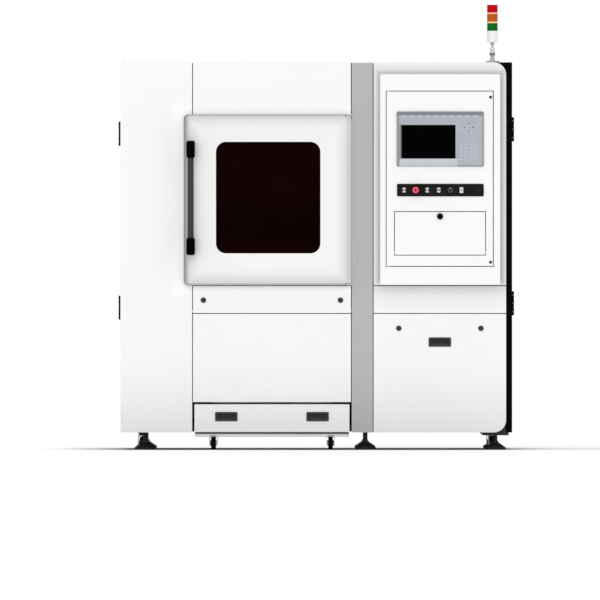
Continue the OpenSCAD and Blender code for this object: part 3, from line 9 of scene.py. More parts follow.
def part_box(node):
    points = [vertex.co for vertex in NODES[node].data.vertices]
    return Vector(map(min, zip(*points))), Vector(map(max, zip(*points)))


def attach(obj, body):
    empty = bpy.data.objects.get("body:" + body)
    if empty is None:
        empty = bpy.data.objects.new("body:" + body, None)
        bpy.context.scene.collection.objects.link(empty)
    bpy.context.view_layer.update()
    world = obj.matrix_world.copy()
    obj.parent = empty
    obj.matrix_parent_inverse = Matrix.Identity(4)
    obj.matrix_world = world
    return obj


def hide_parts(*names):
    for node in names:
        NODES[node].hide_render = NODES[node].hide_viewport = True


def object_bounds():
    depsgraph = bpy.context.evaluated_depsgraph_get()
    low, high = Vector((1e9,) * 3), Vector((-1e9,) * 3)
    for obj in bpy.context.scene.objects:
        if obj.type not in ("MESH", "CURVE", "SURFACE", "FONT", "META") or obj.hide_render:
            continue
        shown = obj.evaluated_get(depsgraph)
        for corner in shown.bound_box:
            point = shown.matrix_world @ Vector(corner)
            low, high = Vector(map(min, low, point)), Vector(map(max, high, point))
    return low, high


bl_info = {
    "name": "Laser Cutting Machine Looks",
    "version": (1, 0, 0),
    "blender": (4, 5, 0),
    "location": "3D View > Sidebar > Laser Cutter",
    "description": "Paints the machine, models its door, seals, locks and screws, and sets the stage",
    "category": "Object",
}

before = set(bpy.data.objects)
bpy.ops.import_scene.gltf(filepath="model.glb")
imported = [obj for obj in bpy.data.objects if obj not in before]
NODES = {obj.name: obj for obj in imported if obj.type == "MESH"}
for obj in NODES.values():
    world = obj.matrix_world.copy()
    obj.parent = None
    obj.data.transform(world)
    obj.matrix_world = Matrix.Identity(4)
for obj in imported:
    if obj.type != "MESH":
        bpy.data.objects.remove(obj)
CAD_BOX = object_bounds()
MM = 0.001


# Where a box is taken apart, a is its lowest corner and b its highest
def low(node):
    """Lowest corner of a CAD node."""
    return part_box(node)[0]


def high(node):
    """Highest corner of a CAD node."""
    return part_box(node)[1]


def middle(node):
    """Middle of a CAD node."""
    return (low(node) + high(node)) / 2


def shade(colour, factor):
    """A colour made darker or lighter."""
    return tuple(min(1.0, c * factor) for c in colour)


def grey(level):
    """A neutral colour."""
    return (level, level, level)


# Planes taken from the frame
SKIN_Y = low("upper_front_panel").y
CONSOLE_Y = low("console_door").y
PLATE_Y = CONSOLE_Y - 4 * MM
FILM_Y = CONSOLE_Y - 6 * MM
SWITCH_Z = middle("switch_plate").z
REAR_Y = high("rear_panel").y
LEFT_X = low("left_corner_panel").x
RIGHT_X = high("cabinet_body").x

# Directions in the frame
FRONT, REAR, UP = (0, -1, 0), (0, 1, 0), (0, 0, 1)

# Share of a direction past which an edge or a normal lies along an axis, loosely and strictly
ALONG, SQUARE_ON = 0.9, 0.99

# Range that holds most of a noise field
SPREAD = (0.3, 0.7)

# Gloss of the white powder coats and reach of the painted shade and painted light beside raised pieces
COAT_GLOSS = 0.35
SHADE_REACH = 85 * MM

# Heights between which the dust and painted shade near the floor thin out, and depth of their waves
DUST_SHADE_TOP, DUST_SHADE_FULL, DUST_SHADE_WAVE = 0.50, 0.07, 0.05

# Colours of the rubber and of the deep marks
RUBBER, DARK_MARK = grey(0.010), grey(0.02)


def colour_setting(name, description, default):
    """Property for a colour."""
    return bpy.props.FloatVectorProperty(
        name=name, description=description, subtype="COLOR", size=3, min=0.0, max=1.0, default=default,
    )


def length_setting(name, description, default):
    """Property for a length."""
    return bpy.props.FloatProperty(name=name, description=description, unit="LENGTH", default=default)


def strength_setting(name, description, default):
    """Property for the strength of a light."""
    return bpy.props.FloatProperty(name=name, description=description, default=default, min=0.0)


class LaserFinishSettings(bpy.types.PropertyGroup):
    """Colours of the finishes."""

    white_paint: colour_setting("White paint", "Powder coat of the panels", grey(0.875))
    door_paint: colour_setting("Door paint", "Powder coat of the front door", grey(0.83))
    grey_paint: colour_setting("Grey paint", "Powder coat of the pillar", grey(0.44))
    black_paint: colour_setting("Black paint", "Textured coat of the cabinet", (0.0012, 0.0011, 0.0011))
    window: colour_setting("Window", "Dark red of the safety window", (0.0060, 0.0006, 0.0002))
    handle_bar: colour_setting("Handle bar", "Anodised grey of the handle bar", grey(0.038))
    display: colour_setting("Display film", "Silver film of the display panel", (0.40, 0.43, 0.475))
    # Share of colour lost towards the floor to dust and painted shade together
    dust_and_shade: bpy.props.FloatProperty(
        name="Dust_and_shade", description="Share of colour lost to dust along the lower edge", subtype="FACTOR",
        min=0.0, max=1.0, default=0.14,
    )


class LaserDetailSettings(bpy.types.PropertyGroup):
    """Sizes of the added details."""

    crown_steps: bpy.props.IntProperty(
        name="Crown steps", description="Rings across the crowned border of the door",
        min=4, max=24, default=12,
    )
    screw_radius: length_setting("Screw radius", "Radius of the button head screws", 5 * MM)
    console_lock_radius: length_setting("Console lock radius", "Radius of the small console locks", 7 * MM)
    side_lock_radius: length_setting("Side lock radius", "Radius of the side door locks", 13 * MM)
    seal_width: length_setting("Seal width", "Width of the rubber seal behind the door", 14 * MM)


class LaserStageSettings(bpy.types.PropertyGroup):
    """Floor, lamps and camera."""

    floor_radius: length_setting("Floor radius", "Radius of the pale floor", 16.0)
    key_power: strength_setting("Key strength", "Strength of the soft lamp in front", 0.70)
    top_power: strength_setting("Top strength", "Strength of the soft lamp above", 0.60)
    sky_level: strength_setting("Sky level", "Level of the even light from all sides", 0.75)
    camera_distance: length_setting("Camera distance", "Distance from the camera to the front skin", 120.0)
    aim_x: length_setting("Aim across", "Place across the front that the camera looks at", -0.0783)
    aim_z: length_setting("Aim height", "Height of the level camera", 0.7188)
    view_width: length_setting("View width", "Width of the picture at the front skin", 2.88)


def put(tree, socket, value):
    """Links a socket or writes a plain value to it."""
    if isinstance(value, bpy.types.NodeSocket):
        tree.links.new(value, socket)
    elif socket.type == "RGBA":
        socket.default_value = (*tuple(value)[:3], 1.0)
    else:
        socket.default_value = value


def add_node(tree, kind, output, values, **options):
    """Adds a shader node, sets its options and inputs, and hands over one of its outputs."""
    node = tree.nodes.new("ShaderNode" + kind)
    for key, option in options.items():
        setattr(node, key, option)
    for key, value in values.items():
        put(tree, node.inputs[key], value)
    return node.outputs[output]


class Finish:
    """Wires the nodes of one material on Object coordinates."""

    def __init__(self, name, specular=0.5, metallic=0.0):
        self.material = bpy.data.materials.new(name)
        self.material.use_nodes = True
        self.tree = self.material.node_tree
        self.inputs = self.tree.nodes["Principled BSDF"].inputs
        self.coords = add_node(self.tree, "TexCoord", "Object", {})
        split = self.tree.nodes.new("ShaderNodeSeparateXYZ")
        put(self.tree, split.inputs[0], self.coords)
        self.x, self.y, self.z = split.outputs
        self.give("Specular IOR Level", specular)
        self.give("Metallic", metallic)

    def give(self, key, value):
        """Sets or links one input of the finish."""
        put(self.tree, self.inputs[key], value)

    def math(self, op, a, b=0.0):
        """One Math node."""
        return add_node(self.tree, "Math", 0, {0: a, 1: b}, operation=op)

    def less(self, a, b):
        """One value less another."""
        return self.math("SUBTRACT", a, b)

    def off(self, value, place):
        """Distance to either side of a place on an axis."""
        return self.math("ABSOLUTE", self.less(value, place))

    def below(self, value, limit):
        """One where a value is below a limit."""
        return self.math("LESS_THAN", value, limit)

    def above(self, value, limit):
        """One where a value is above a limit."""
        return self.math("GREATER_THAN", value, limit)

    def every(self, share, *others):
        """Product of several shares."""
        for other in others:
            share = self.math("MULTIPLY", share, other)
        return share

    def smallest(self, value, *others):
        """Smallest of several values."""
        for other in others:
            value = self.math("MINIMUM", value, other)
        return value

    def span(self, value, a, b, to_a=0.0, to_b=1.0):
        """Smooth step of a value from one range to another."""
        values = {"Value": value, "From Min": a, "From Max": b, "To Min": to_a, "To Max": to_b}
        return add_node(self.tree, "MapRange", "Result", values, interpolation_type="SMOOTHSTEP")

    def mix(self, share, a, b):
        """Mix of two colours."""
        return add_node(self.tree, "Mix", 2, {0: share, 6: a, 7: b}, data_type="RGBA")

    def fade(self, body, value, start, end, share, colour):
        """Lets a colour take over up to a share, as a value runs from start to end."""
        return self.mix(self.span(value, start, end, 0.0, share), body, colour)

    def noise(self, scale, detail=2.0, stretch=None, rough=0.5):
        """Noise on Object coordinates, stretched along an axis where asked."""
        place = self.coords
        if stretch is not None:
            place = add_node(self.tree, "Mapping", "Vector", {"Vector": place, "Scale": stretch})
        values = {"Vector": place, "Scale": scale, "Detail": detail, "Roughness": rough}
        return add_node(self.tree, "TexNoise", "Fac", values)

    def grain(self, stretch):
        """Brushed grain along the axis with the smallest stretch."""
        return self.noise(1.0, 4.0, stretch, 0.65)

    def mottle(self, scale, a, b, detail=2.0, spread=SPREAD):
        """Two colours mixed by noise."""
        return self.mix(self.span(self.noise(scale, detail), *spread), a, b)

    def gloss(self, field, smooth, dull, spread=SPREAD):
        """Roughness from a field."""
        self.give("Roughness", self.span(field, *spread, smooth, dull))

    def surface(self, field, smooth, dull, height, strength, depth, spread=SPREAD):
        """Roughness from one field and relief from another."""
        self.gloss(field, smooth, dull, spread)
        values = {"Height": height, "Strength": strength, "Distance": depth}
        self.give("Normal", add_node(self.tree, "Bump", "Normal", values))

    def length(self, a, b):
        """Length of a slope from its two sides."""
        return self.math("SQRT", self.math("ADD", self.every(a, a), self.every(b, b)))

    def from_axis(self, place):
        """Distance from a line along y through a place on the front."""
        return self.length(self.less(self.x, place.x), self.less(self.z, place.z))

    def upright(self, place):
        """One above and below a line along y through a place on the front, none at its sides."""
        across, along = self.less(self.x, place.x), self.less(self.z, place.z)
        square = self.every(along, along)
        never_zero = 1e-7
        total = self.math("ADD", self.math("ADD", square, self.every(across, across)), never_zero)
        return self.span(self.math("DIVIDE", square, total), 0.25, 0.65)

    def off_pair(self, a, b, half):
        """Distance across from the middle of the nearer of two pieces at the sides of a box."""
        return self.smallest(self.off(self.x, a.x + half), self.off(self.x, b.x - half))

    def outside(self, a, b):
        """Distance beyond the sides of a box, as seen from the front."""
        across = self.less(self.off(self.x, (a.x + b.x) / 2), (b.x - a.x) / 2)
        along = self.less(self.off(self.z, (a.z + b.z) / 2), (b.z - a.z) / 2)
        return self.math("MAXIMUM", across, along)

    def done(self, colour):
        """Sets the base colour and hands over the material."""
        self.give("Base Color", colour)
        return self.material


def coat(look, colour, dust_and_shade=0.0, peel=0.06):
    """Powder coat: fine orange peel, faint clouding, and dust with painted shade that darken it towards the
    floor.
    """
    body = look.mottle(2.3, colour, shade(colour, 0.99), 3.0, (0.35, 0.7))
    if dust_and_shade:
        # Dust and painted shade: darker towards the floor, in soft waves
        height = look.math("ADD", look.z, look.every(look.noise(3.0), DUST_SHADE_WAVE))
        body = look.fade(body, height, DUST_SHADE_TOP, DUST_SHADE_FULL, dust_and_shade, shade(colour, 0.25))
    look.surface(look.noise(55.0, 3.0), 0.40, 0.52, look.noise(1100.0), peel, 0.3 * MM)
    return body


def white_look(name, settings):
    """Starts a white powder coat: its nodes and its colour."""
    look = Finish(name, COAT_GLOSS)
    return look, coat(look, settings.white_paint, settings.dust_and_shade)


def white_coat(settings):
    """White powder coat of the panels."""
    look, body = white_look("white_powder_coat", settings)
    return look.done(body)


def surround_coat(settings):
    """White coat of the panels round the front door, painted paler beside it to offset the shade it casts
    there.
    """
    look, body = white_look("surround_powder_coat", settings)
    away = look.outside(*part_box("front_door"))
    # Painted light: paler towards the door, against its contact shade
    return look.done(look.fade(body, away, SHADE_REACH, 0.0, 1.0, shade(settings.white_paint, 1.10)))


def door_coat(settings):
    """White coat of the door, with painted shade towards its rounded rim, strongest at its left side and
    top.
    """
    look = Finish("door_powder_coat", COAT_GLOSS)
    a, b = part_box("front_door")
    left = look.less(look.x, a.x)
    head = look.less(b.z, look.z)
    rim = look.smallest(left, look.less(look.z, a.z), head)
    edge = look.smallest(rim, look.less(b.x, look.x))
    body = coat(look, settings.door_paint)
    # Painted shade that deepens towards the rim, for the shading of the crowned border
    for value, start, end, share, depth in (
        (edge, SHADE_REACH, 0.0, 0.36, 0.40),
        (rim, 16 * MM, 0.0, 0.55, 0.25),
        (left, 34 * MM, 0.0, 0.72, 0.22),
        (head, 45 * MM, 4 * MM, 0.17, 0.22),
    ):
        body = look.fade(body, value, start, end, share, shade(settings.door_paint, depth))
    return look.done(body)


def pillar_coat(settings):
    """Grey coat of the pillar with painted light beside the door, and the hinge tabs in the white of the
    door darkened by painted shade.
    """
    look = Finish("grey_powder_coat", 0.3)
    a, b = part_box("front_door")
    body = coat(look, settings.grey_paint, settings.dust_and_shade * 0.8)
    # Painted light: paler beside the door, against the shade it casts there
    beside = look.below(look.off(look.z, (a.z + b.z) / 2), (b.z - a.z) / 2)
    beside = look.every(beside, look.span(look.x, b.x + 22 * MM, b.x + 2 * MM), 0.5)
    body = look.mix(beside, body, shade(settings.grey_paint, 1.5))
    # Painted shade: the tabs take the door's white, darkened like the shaded rim
    tab = look.every(look.below(look.y, SKIN_Y - 0.5 * MM), look.below(look.x, b.x + MM))
    return look.done(look.mix(tab, body, shade(settings.door_paint, 0.66)))


def fascia_coat(settings):
    """White coat of the fascia and its strip, with painted soft shade round the raised console and a
    painted shadow on the strip under it.
    """
    look, body = white_look("fascia_powder_coat", settings)
    a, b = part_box("console_box")
    strip_a, strip_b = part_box("fascia_strip")
    dark = shade(settings.white_paint, 0.22)
    # Painted shade round the raised console
    away = look.outside(a + Vector((0, 0, 25 * MM)), b)
    body = look.fade(body, away, SHADE_REACH, 0.0, 0.26, dark)
    # Painted shadow on the strip under the console
    strip = look.below(look.z, strip_b.z + MM)
    strip = look.every(strip, look.span(look.z, strip_a.z - 30 * MM, strip_b.z, 0.0, 0.15))
    body = look.mix(strip, body, dark)
    return look.done(look.fade(body, away, 26 * MM, 4 * MM, 0.38, dark))


def tray_coat(settings):
    """White coat of the trolley, with a painted shadow in the fold under its front."""
    look, body = white_look("tray_powder_coat", settings)
    a = low("scrap_tray")
    lower = look.span(look.z, a.z + 5 * MM, a.z + 6 * MM)
    upper = look.span(look.z, a.z + 17 * MM, a.z + 16 * MM)
    # Painted shadow in the fold
    fold = look.every(lower, upper, look.above(look.y, a.y + 15 * MM))
    return look.done(look.mix(fold, body, shade(settings.white_paint, 0.10)))


def left_door_coat(settings):
    """White coat of the left side door, with its black hinge halves."""
    look, body = white_look("side_door_powder_coat", settings)
    hinge = look.below(look.x, LEFT_X - 0.2 * MM)
    return look.done(look.mix(hinge, body, settings.black_paint))


def black_coat(settings):
    """Black coat with a fine leather texture."""
    look = Finish("black_textured_coat", 0.02)
    black = settings.black_paint
    look.surface(look.noise(40.0), 0.50, 0.62, look.noise(700.0, 3.0), 0.25, 0.4 * MM)
    return look.done(look.mottle(900.0, black, shade(black, 2.2), 3.0, (0.35, 0.65)))


def plain_coat(name, colour):
    """Powder coat of frame and bed."""
    look = Finish(name, 0.3)
    return look.done(coat(look, colour, 0.1, peel=0.1))


def tower_plastic():
    """White tower plastic with a grey tongue, and with the painted glow of the lenses on the rings under
    them.
    """
    look = Finish("tower_plastic", 0.4)
    body = look.mottle(40.0, grey(0.88), grey(0.84))
    ring_height = 8 * MM
    # Painted light: each lens tints the ring under it with its glow
    for node, tint in (("amber_lens", (0.92, 0.72, 0.40)), ("red_lens", (0.92, 0.55, 0.42))):
        rise = look.less(look.z, low(node).z - ring_height)
        body = look.mix(look.every(look.above(rise, 0.0), look.below(rise, ring_height)), body, tint)
    foot = low("tower_base").z
    tongue = look.below(look.z, foot + 41.5 * MM)
    tongue = look.every(tongue, look.span(look.z, foot + 14 * MM, foot + 18 * MM))
    look.surface(look.noise(400.0), 0.28, 0.36, look.noise(900.0), 0.06, 0.1 * MM)
    return look.done(look.mix(tongue, body, grey(0.46)))


def tower_foot_metal():
    """Cast metal of the folding foot: a grey neck, a dark groove above it and a pale yoke."""
    look = Finish("tower_foot_metal", 0.4, 0.3)
    base = low("tower_foot").z
    grain = look.span(look.grain((500, 500, 60)), *SPREAD)
    groove = look.span(look.z, base + 32 * MM, base + 35 * MM)
    yoke = look.span(look.z, base + 46 * MM, base + 49 * MM)
    body = look.mix(groove, (0.46, 0.46, 0.47), (0.24, 0.24, 0.25))
    body = look.mix(yoke, body, (0.80, 0.80, 0.81))
    look.surface(grain, 0.30, 0.42, grain, 0.05, 0.2 * MM, (0.0, 1.0))
    return look.done(look.mix(look.every(grain, 0.15), body, (0.30, 0.30, 0.31)))


def castor_metal():
    """Zinc plated castor forks, with black top plates and black wheels."""
    look = Finish("transport_castor_metal", 0.4, 0.3)
    a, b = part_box("transport_castors")
    grain = look.span(look.noise(200.0, 3.0), *SPREAD)
    body = look.mix(grain, (0.50, 0.51, 0.53), (0.60, 0.61, 0.63))
    across = look.off_pair(a, b, 21 * MM)
    wheel = look.every(look.below(across, 14 * MM), look.below(look.z, b.z - 17.5 * MM))
    black = look.math("MAXIMUM", wheel, look.above(look.z, b.z - 13.5 * MM))
    look.surface(grain, 0.34, 0.48, look.noise(700.0), 0.06, 0.2 * MM, (0.0, 1.0))
    return look.done(look.mix(black, body, grey(0.008)))


def brushed(name, colour, rough, stretch, metallic=1.0, specular=0.5):
    """Metal with a brushed grain along one axis."""
    look = Finish(name, specular, metallic)
    grain = look.grain(stretch)
    look.surface(grain, rough - 0.07, rough + 0.09, grain, 0.05, 0.2 * MM, (0.25, 0.75))
    return look.done(look.mix(look.span(grain, *SPREAD), shade(colour, 0.86), shade(colour, 1.08)))


def pull_metal(node):
    """Dark metal of a flush pull, with painted shade deep in its cup, strongest under its upper lip and
    lighter along the lower inside.
    """
    look = Finish("dark_metal_of_" + node, 0.2, 0.3)
    front, height = low(node).y, middle(node).z
    grain = look.grain((40, 900, 900))
    body = look.mix(look.span(grain, *SPREAD), grey(0.040), grey(0.049))
    # Painted shade in the cup, less of it lower down
    cup = look.span(look.y, front + 6 * MM, front + 15 * MM)
    upper = look.span(look.z, height - 10 * MM, height - 4 * MM, 0.12, 0.62)
    look.surface(grain, 0.35, 0.51, grain, 0.05, 0.2 * MM, (0.25, 0.75))
    return look.done(look.mix(look.every(cup, upper), body, grey(0.004)))


def wheel_rubber(node):
    """Black tyres of a pair of castor wheels on grey nylon hubs."""
    look = Finish("tyres_of_" + node, 0.03)
    across = look.off_pair(*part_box(node), 16.5 * MM)
    body = look.mottle(25.0, grey(0.0025), grey(0.0018), 2.0, (0.35, 0.7))
    spots = look.noise(500.0)
    look.surface(spots, 0.49, 0.61, spots, 0.10, 0.2 * MM)
    return look.done(look.mix(look.above(across, 10.7 * MM), body, (0.26, 0.26, 0.27)))


def moulded(name, colour, rough=0.45, specular=0.2, grain=900.0):
    """Moulded plastic or rubber with a fine grain."""
    look = Finish(name, specular)
    spots = look.noise(grain)
    look.surface(spots, rough - 0.06, rough + 0.06, spots, 0.10, 0.2 * MM)
    return look.done(look.mottle(25.0, colour, shade(colour, 0.85), 2.0, (0.35, 0.7)))


def window_pane(settings):
    """Dark red laser safety acrylic, deepest across its lower middle."""
    look = Finish("safety_window", 0.005)
    foot = low("door_window").z
    upper = look.span(look.z, foot + 0.17, foot + 0.32)
    lower = look.span(look.z, foot + 0.10, foot + 0.03)
    clear = look.every(look.math("MAXIMUM", upper, lower), 0.72)
    clear = look.math("ADD", clear, look.span(look.noise(5.0), 0.3, 0.75, 0.0, 0.28))
    look.surface(look.noise(30.0, 3.0), 0.10, 0.16, look.noise(18.0, 1.0), 0.02, 0.3 * MM)
    return look.done(look.mix(clear, shade(settings.window, 0.38), settings.window))


def screen_pane():
    """Dark liquid crystal screen under glass."""
    look = Finish("screen_glass", 0.004)
    look.gloss(look.noise(400.0, 1.0), 0.12, 0.18)
    return look.done(look.mottle(9.0, (0.0002, 0.0003, 0.0007), (0.0006, 0.0008, 0.0013), 1.0, (0.3, 0.8)))


def display_film(settings):
    """Silver film with paler raised keys, darker rim and left margin, a painted shadow beside the screen,
    and a pale field under the screen.
    """
    look = Finish("display_film", 0.3)
    a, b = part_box("display_panel")
    glass_a, glass_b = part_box("screen_glass")
    silver = settings.display
    edge = glass_a.x - 9 * MM
    key_row = b.z - 30 * MM
    film = look.mottle(14.0, silver, shade(silver, 0.93))
    film = look.mix(look.span(look.z, key_row, b.z - 10 * MM), film, shade(silver, 0.45))
    side = look.smallest(look.less(look.x, a.x), look.less(b.x, look.x))
    rim = look.smallest(side, look.less(look.z, a.z), look.less(b.z, look.z))
    film = look.fade(film, rim, 10 * MM, 3 * MM, 1.0, shade(silver, 0.55))
    film = look.mix(look.below(look.y, FILM_Y - 0.4 * MM), film, shade(silver, 1.10))
    margin = look.every(look.below(look.x, edge), look.below(look.z, key_row))
    film = look.mix(margin, film, shade(silver, 0.66))
    # Painted shadow beside the left edge of the screen
    beside = look.every(
        look.below(look.x, glass_a.x),
        look.above(look.z, glass_a.z - 2 * MM),
        look.below(look.z, glass_b.z + 4 * MM),
        look.span(look.x, glass_a.x - 11 * MM, glass_a.x - 6 * MM),
    )
    film = look.mix(beside, film, shade(silver, 0.42))
    field = look.every(
        look.below(look.z, glass_a.z - MM),
        look.below(look.x, glass_b.x + 10 * MM),
        look.above(look.x, edge),
        0.35,
    )
    look.surface(look.noise(300.0), 0.36, 0.46, look.noise(1500.0, 1.0), 0.05, 0.2 * MM)
    return look.done(look.mix(field, film, (0.75, 0.76, 0.76)))


def switch_colours():
    """Black switch plate with chrome bezel rings painted with highlights above and below their middle and
    dark at their sides, and a white data port with a dark mouth.
    """
    look = Finish("switch_plate", 0.06)
    body = look.mottle(20.0, (0.006, 0.006, 0.005), (0.012, 0.012, 0.010), 2.0, (0.35, 0.7))
    proud = look.below(look.y, PLATE_Y - 0.5 * MM)
    for node in ("white_button", "green_button", "key_switch"):
        place = middle(node)
        # Painted highlights on the bezel rings, above and below the middle
        ring = look.every(proud, look.below(look.from_axis(place), 14 * MM))
        body = look.mix(ring, body, look.mix(look.upright(place), grey(0.03), (0.58, 0.57, 0.55)))
    port_at = Vector((high("switch_plate").x - 107 * MM, PLATE_Y, SWITCH_Z))
    wide = look.below(look.off(look.x, port_at.x), 8.6 * MM)
    tall = look.below(look.off(look.z, port_at.z), 14 * MM)
    port = look.every(wide, proud, tall)
    body = look.mix(port, body, (0.66, 0.65, 0.63))
    mouth = look.every(port, look.below(look.from_axis(port_at), 4 * MM))
    look.surface(look.noise(300.0), 0.38, 0.5, look.noise(1200.0), 0.06, 0.2 * MM)
    return look.done(look.mix(mouth, body, grey(0.16)))


def turned_button(node, dark):
    """Turned metal cap with painted highlights above and below its axis, dark at its sides."""
    look = Finish(node + "_cap", 0.4)
    rings = look.span(look.noise(700.0), *SPREAD, 0.85, 1.0)
    # Painted highlight above and below the axis
    bright = look.every(look.upright(middle(node)), rings)
    look.surface(look.noise(500.0), 0.28, 0.38, look.noise(900.0), 0.05, 0.1 * MM)
    return look.done(look.mix(bright, dark, (0.70, 0.68, 0.66)))


def stop_head():
    """Red mushroom head with a painted pale highlight ring and painted shade of deeper red on its rim."""
    look = Finish("stop_head_red", 0.06)
    far = look.from_axis(middle("e_stop"))
    # Painted highlight ring
    ring = look.every(look.span(far, 6 * MM, 9 * MM), look.span(far, 15 * MM, 12 * MM))
    # Painted shade: deeper red towards the rim
    body = look.mix(look.span(far, 12 * MM, 16 * MM), (0.38, 0.005, 0.022), (0.13, 0.004, 0.010))
    look.surface(look.noise(200.0), 0.28, 0.36, look.noise(900.0), 0.04, 0.1 * MM)
    return look.done(look.mix(ring, body, (0.86, 0.16, 0.24)))


def key_rotor():
    """Pale key switch rotor with two dark marks beside its slot."""
    look = Finish("key_rotor", 0.4)
    body = look.mottle(60.0, (0.78, 0.78, 0.76), (0.68, 0.68, 0.66))
    for across in (-4.6 * MM, 4.6 * MM):
        far = look.from_axis(middle("key_switch") + Vector((across, 0, 0)))
        body = look.mix(look.span(far, 4.6 * MM, 3.6 * MM), body, DARK_MARK)
    look.surface(look.noise(300.0), 0.26, 0.36, look.noise(900.0), 0.04, 0.1 * MM)
    return look.done(body)


def knob_plastic():
    """Black selector knob with a grey ring on its face and a pale pointer line."""
    look = Finish("knob_plastic", 0.1)
    place = middle("selector_knob")
    far = look.from_axis(place)
    ring = look.every(look.span(far, 7.5 * MM, 8.5 * MM), look.span(far, 12.5 * MM, 11.5 * MM))
    body = look.mix(ring, look.mottle(60.0, grey(0.004), grey(0.008)), grey(0.12))
    line = look.below(look.off(look.x, place.x), 2.2 * MM)
    line = look.every(line, look.above(look.z, place.z + 4 * MM))
    look.surface(look.noise(400.0), 0.38, 0.48, look.noise(900.0), 0.08, 0.2 * MM)
    return look.done(look.mix(line, body, (0.22, 0.22, 0.21)))


def lens(name, colour):
    """Coloured lamp lens with fine prismatic ribs."""
    look = Finish(name, 0.03)
    radians_per_metre = 2400.0
    ribs = look.math("SINE", look.every(look.z, radians_per_metre))
    look.surface(look.noise(200.0), 0.18, 0.26, ribs, 0.12, 0.4 * MM)
    return look.done(look.mottle(30.0, colour, shade(colour, 0.82)))


def dress(obj, material):
    """Gives an object one finish."""
    obj.data.materials.clear()
    obj.data.materials.append(material)


def paint(material, *nodes):
    """Gives CAD nodes one finish."""
    for node in nodes:
        dress(NODES[node], material)


class LASER_OT_paint_panels(bpy.types.Operator):
    """Paints the panels, the pillar, the control cabinet and the frame"""

    bl_idname = "laser.paint_panels"
    bl_label = "Paint Panels"

    def execute(self, context):
        settings = context.scene.laser_finish
        paint(white_coat(settings), "lower_front_panel", "roof_panel", "rear_panel", "lower_panel",
              "console_box", "console_door", "keyboard_flap")
        paint(surround_coat(settings), "left_corner_panel", "upper_front_panel", "front_flap")
        paint(black_coat(settings), "cabinet_body", "right_side_door", "side_hinges")
        paint(fascia_coat(settings), "control_fascia", "fascia_strip")
        paint(tray_coat(settings), "scrap_tray")
        paint(left_door_coat(settings), "left_side_door")
        paint(pillar_coat(settings), "pillar")
        paint(plain_coat("frame_coat", (0.012, 0.012, 0.014)), "welded_frame")
        paint(plain_coat("bed_coat", (0.20, 0.22, 0.24)), "machine_bed")
        return {"FINISHED"}


class LASER_OT_paint_metal(bpy.types.Operator):
    """Gives the metal pieces their brushed, anodised and plated finishes"""

    bl_idname = "laser.paint_metal"
    bl_label = "Finish Metal"

    def execute(self, context):
        bar = context.scene.laser_finish.handle_bar
        paint(brushed("brushed_steel", (0.58, 0.59, 0.61), 0.32, (30, 900, 900)),
              "exhaust_spigot", "slats", "scrap_chute", "long_rails", "gantry_guides")
        paint(brushed("satin_alloy", (0.68, 0.69, 0.71), 0.38, (40, 700, 700)),
              "gantry_beam", "height_slide", "electrical_plate")
        paint(brushed("dark_alloy", (0.06, 0.06, 0.065), 0.42, (600, 600, 40), 0.6),
              "cross_carriage", "cutting_head", "laser_source", "slat_frame")
        paint(brushed("zinc_plate", (0.70, 0.71, 0.73), 0.36, (200, 200, 200)), "castor_forks")
        paint(brushed("anodised_bar", bar, 0.45, (900, 900, 30), 0.2, 0.15), "handle_bar")
        paint(brushed("copper", (0.72, 0.36, 0.18), 0.25, (900, 900, 60)), "nozzle")
        paint(castor_metal(), "transport_castors")
        paint(tower_foot_metal(), "tower_foot")
        for node in ("lower_pull", "tray_pulls"):
            paint(pull_metal(node), node)
        return {"FINISHED"}


class LASER_OT_paint_fittings(bpy.types.Operator):
    """Finishes the window, the controls, the wheels, the feet and the tower light"""

    bl_idname = "laser.paint_fittings"
    bl_label = "Finish Fittings"

    def execute(self, context):
        settings = context.scene.laser_finish
        paint(moulded("black_plastic", grey(0.0012), 0.5, 0.012), "handle_brackets", "keyboard_lock")
        paint(moulded("lock_black", grey(0.040), 0.45, 0.15), "lower_locks", "flap_locks")
        paint(moulded("black_rubber", RUBBER, 0.55, 0.2, 500.0), "levelling_feet")
        for node in ("front_wheels", "rear_wheels"):
            paint(wheel_rubber(node), node)
        paint(window_pane(settings), "door_window")
        paint(screen_pane(), "screen_glass")
        paint(display_film(settings), "display_panel")
        paint(switch_colours(), "switch_plate")
        paint(knob_plastic(), "selector_knob")
        paint(stop_head(), "e_stop")
        paint(key_rotor(), "key_switch")
        paint(tower_plastic(), "tower_base")
        for node, dark in (("white_button", (0.05, 0.03, 0.03)), ("green_button", (0.008, 0.07, 0.03))):
            paint(turned_button(node, dark), node)
        for node, colour in (
            ("green_lens", (0.005, 0.15, 0.016)),
            ("amber_lens", (0.56, 0.115, 0.012)),
            ("red_lens", (0.54, 0.002, 0.006)),
        ):
            paint(lens(node, colour), node)
        return {"FINISHED"}


def alone(obj=None):
    """Leaves edit mode, clears the selection and makes one piece active where it is named."""
    if bpy.context.mode != "OBJECT":
        bpy.ops.object.mode_set(mode="OBJECT")
    bpy.ops.object.select_all(action="DESELECT")
    if obj is not None:
        bpy.context.view_layer.objects.active = obj
        obj.select_set(True)


def block(a, b):
    """Starts a piece as a block between two corners, with its place in its mesh."""
    alone()
    a, b = Vector(a), Vector(b)
    bpy.ops.mesh.primitive_cube_add(size=1.0, location=(a + b) / 2)
    obj = bpy.context.object
    obj.scale = b - a
    bpy.ops.object.transform_apply(location=True, rotation=True, scale=True)
    return obj


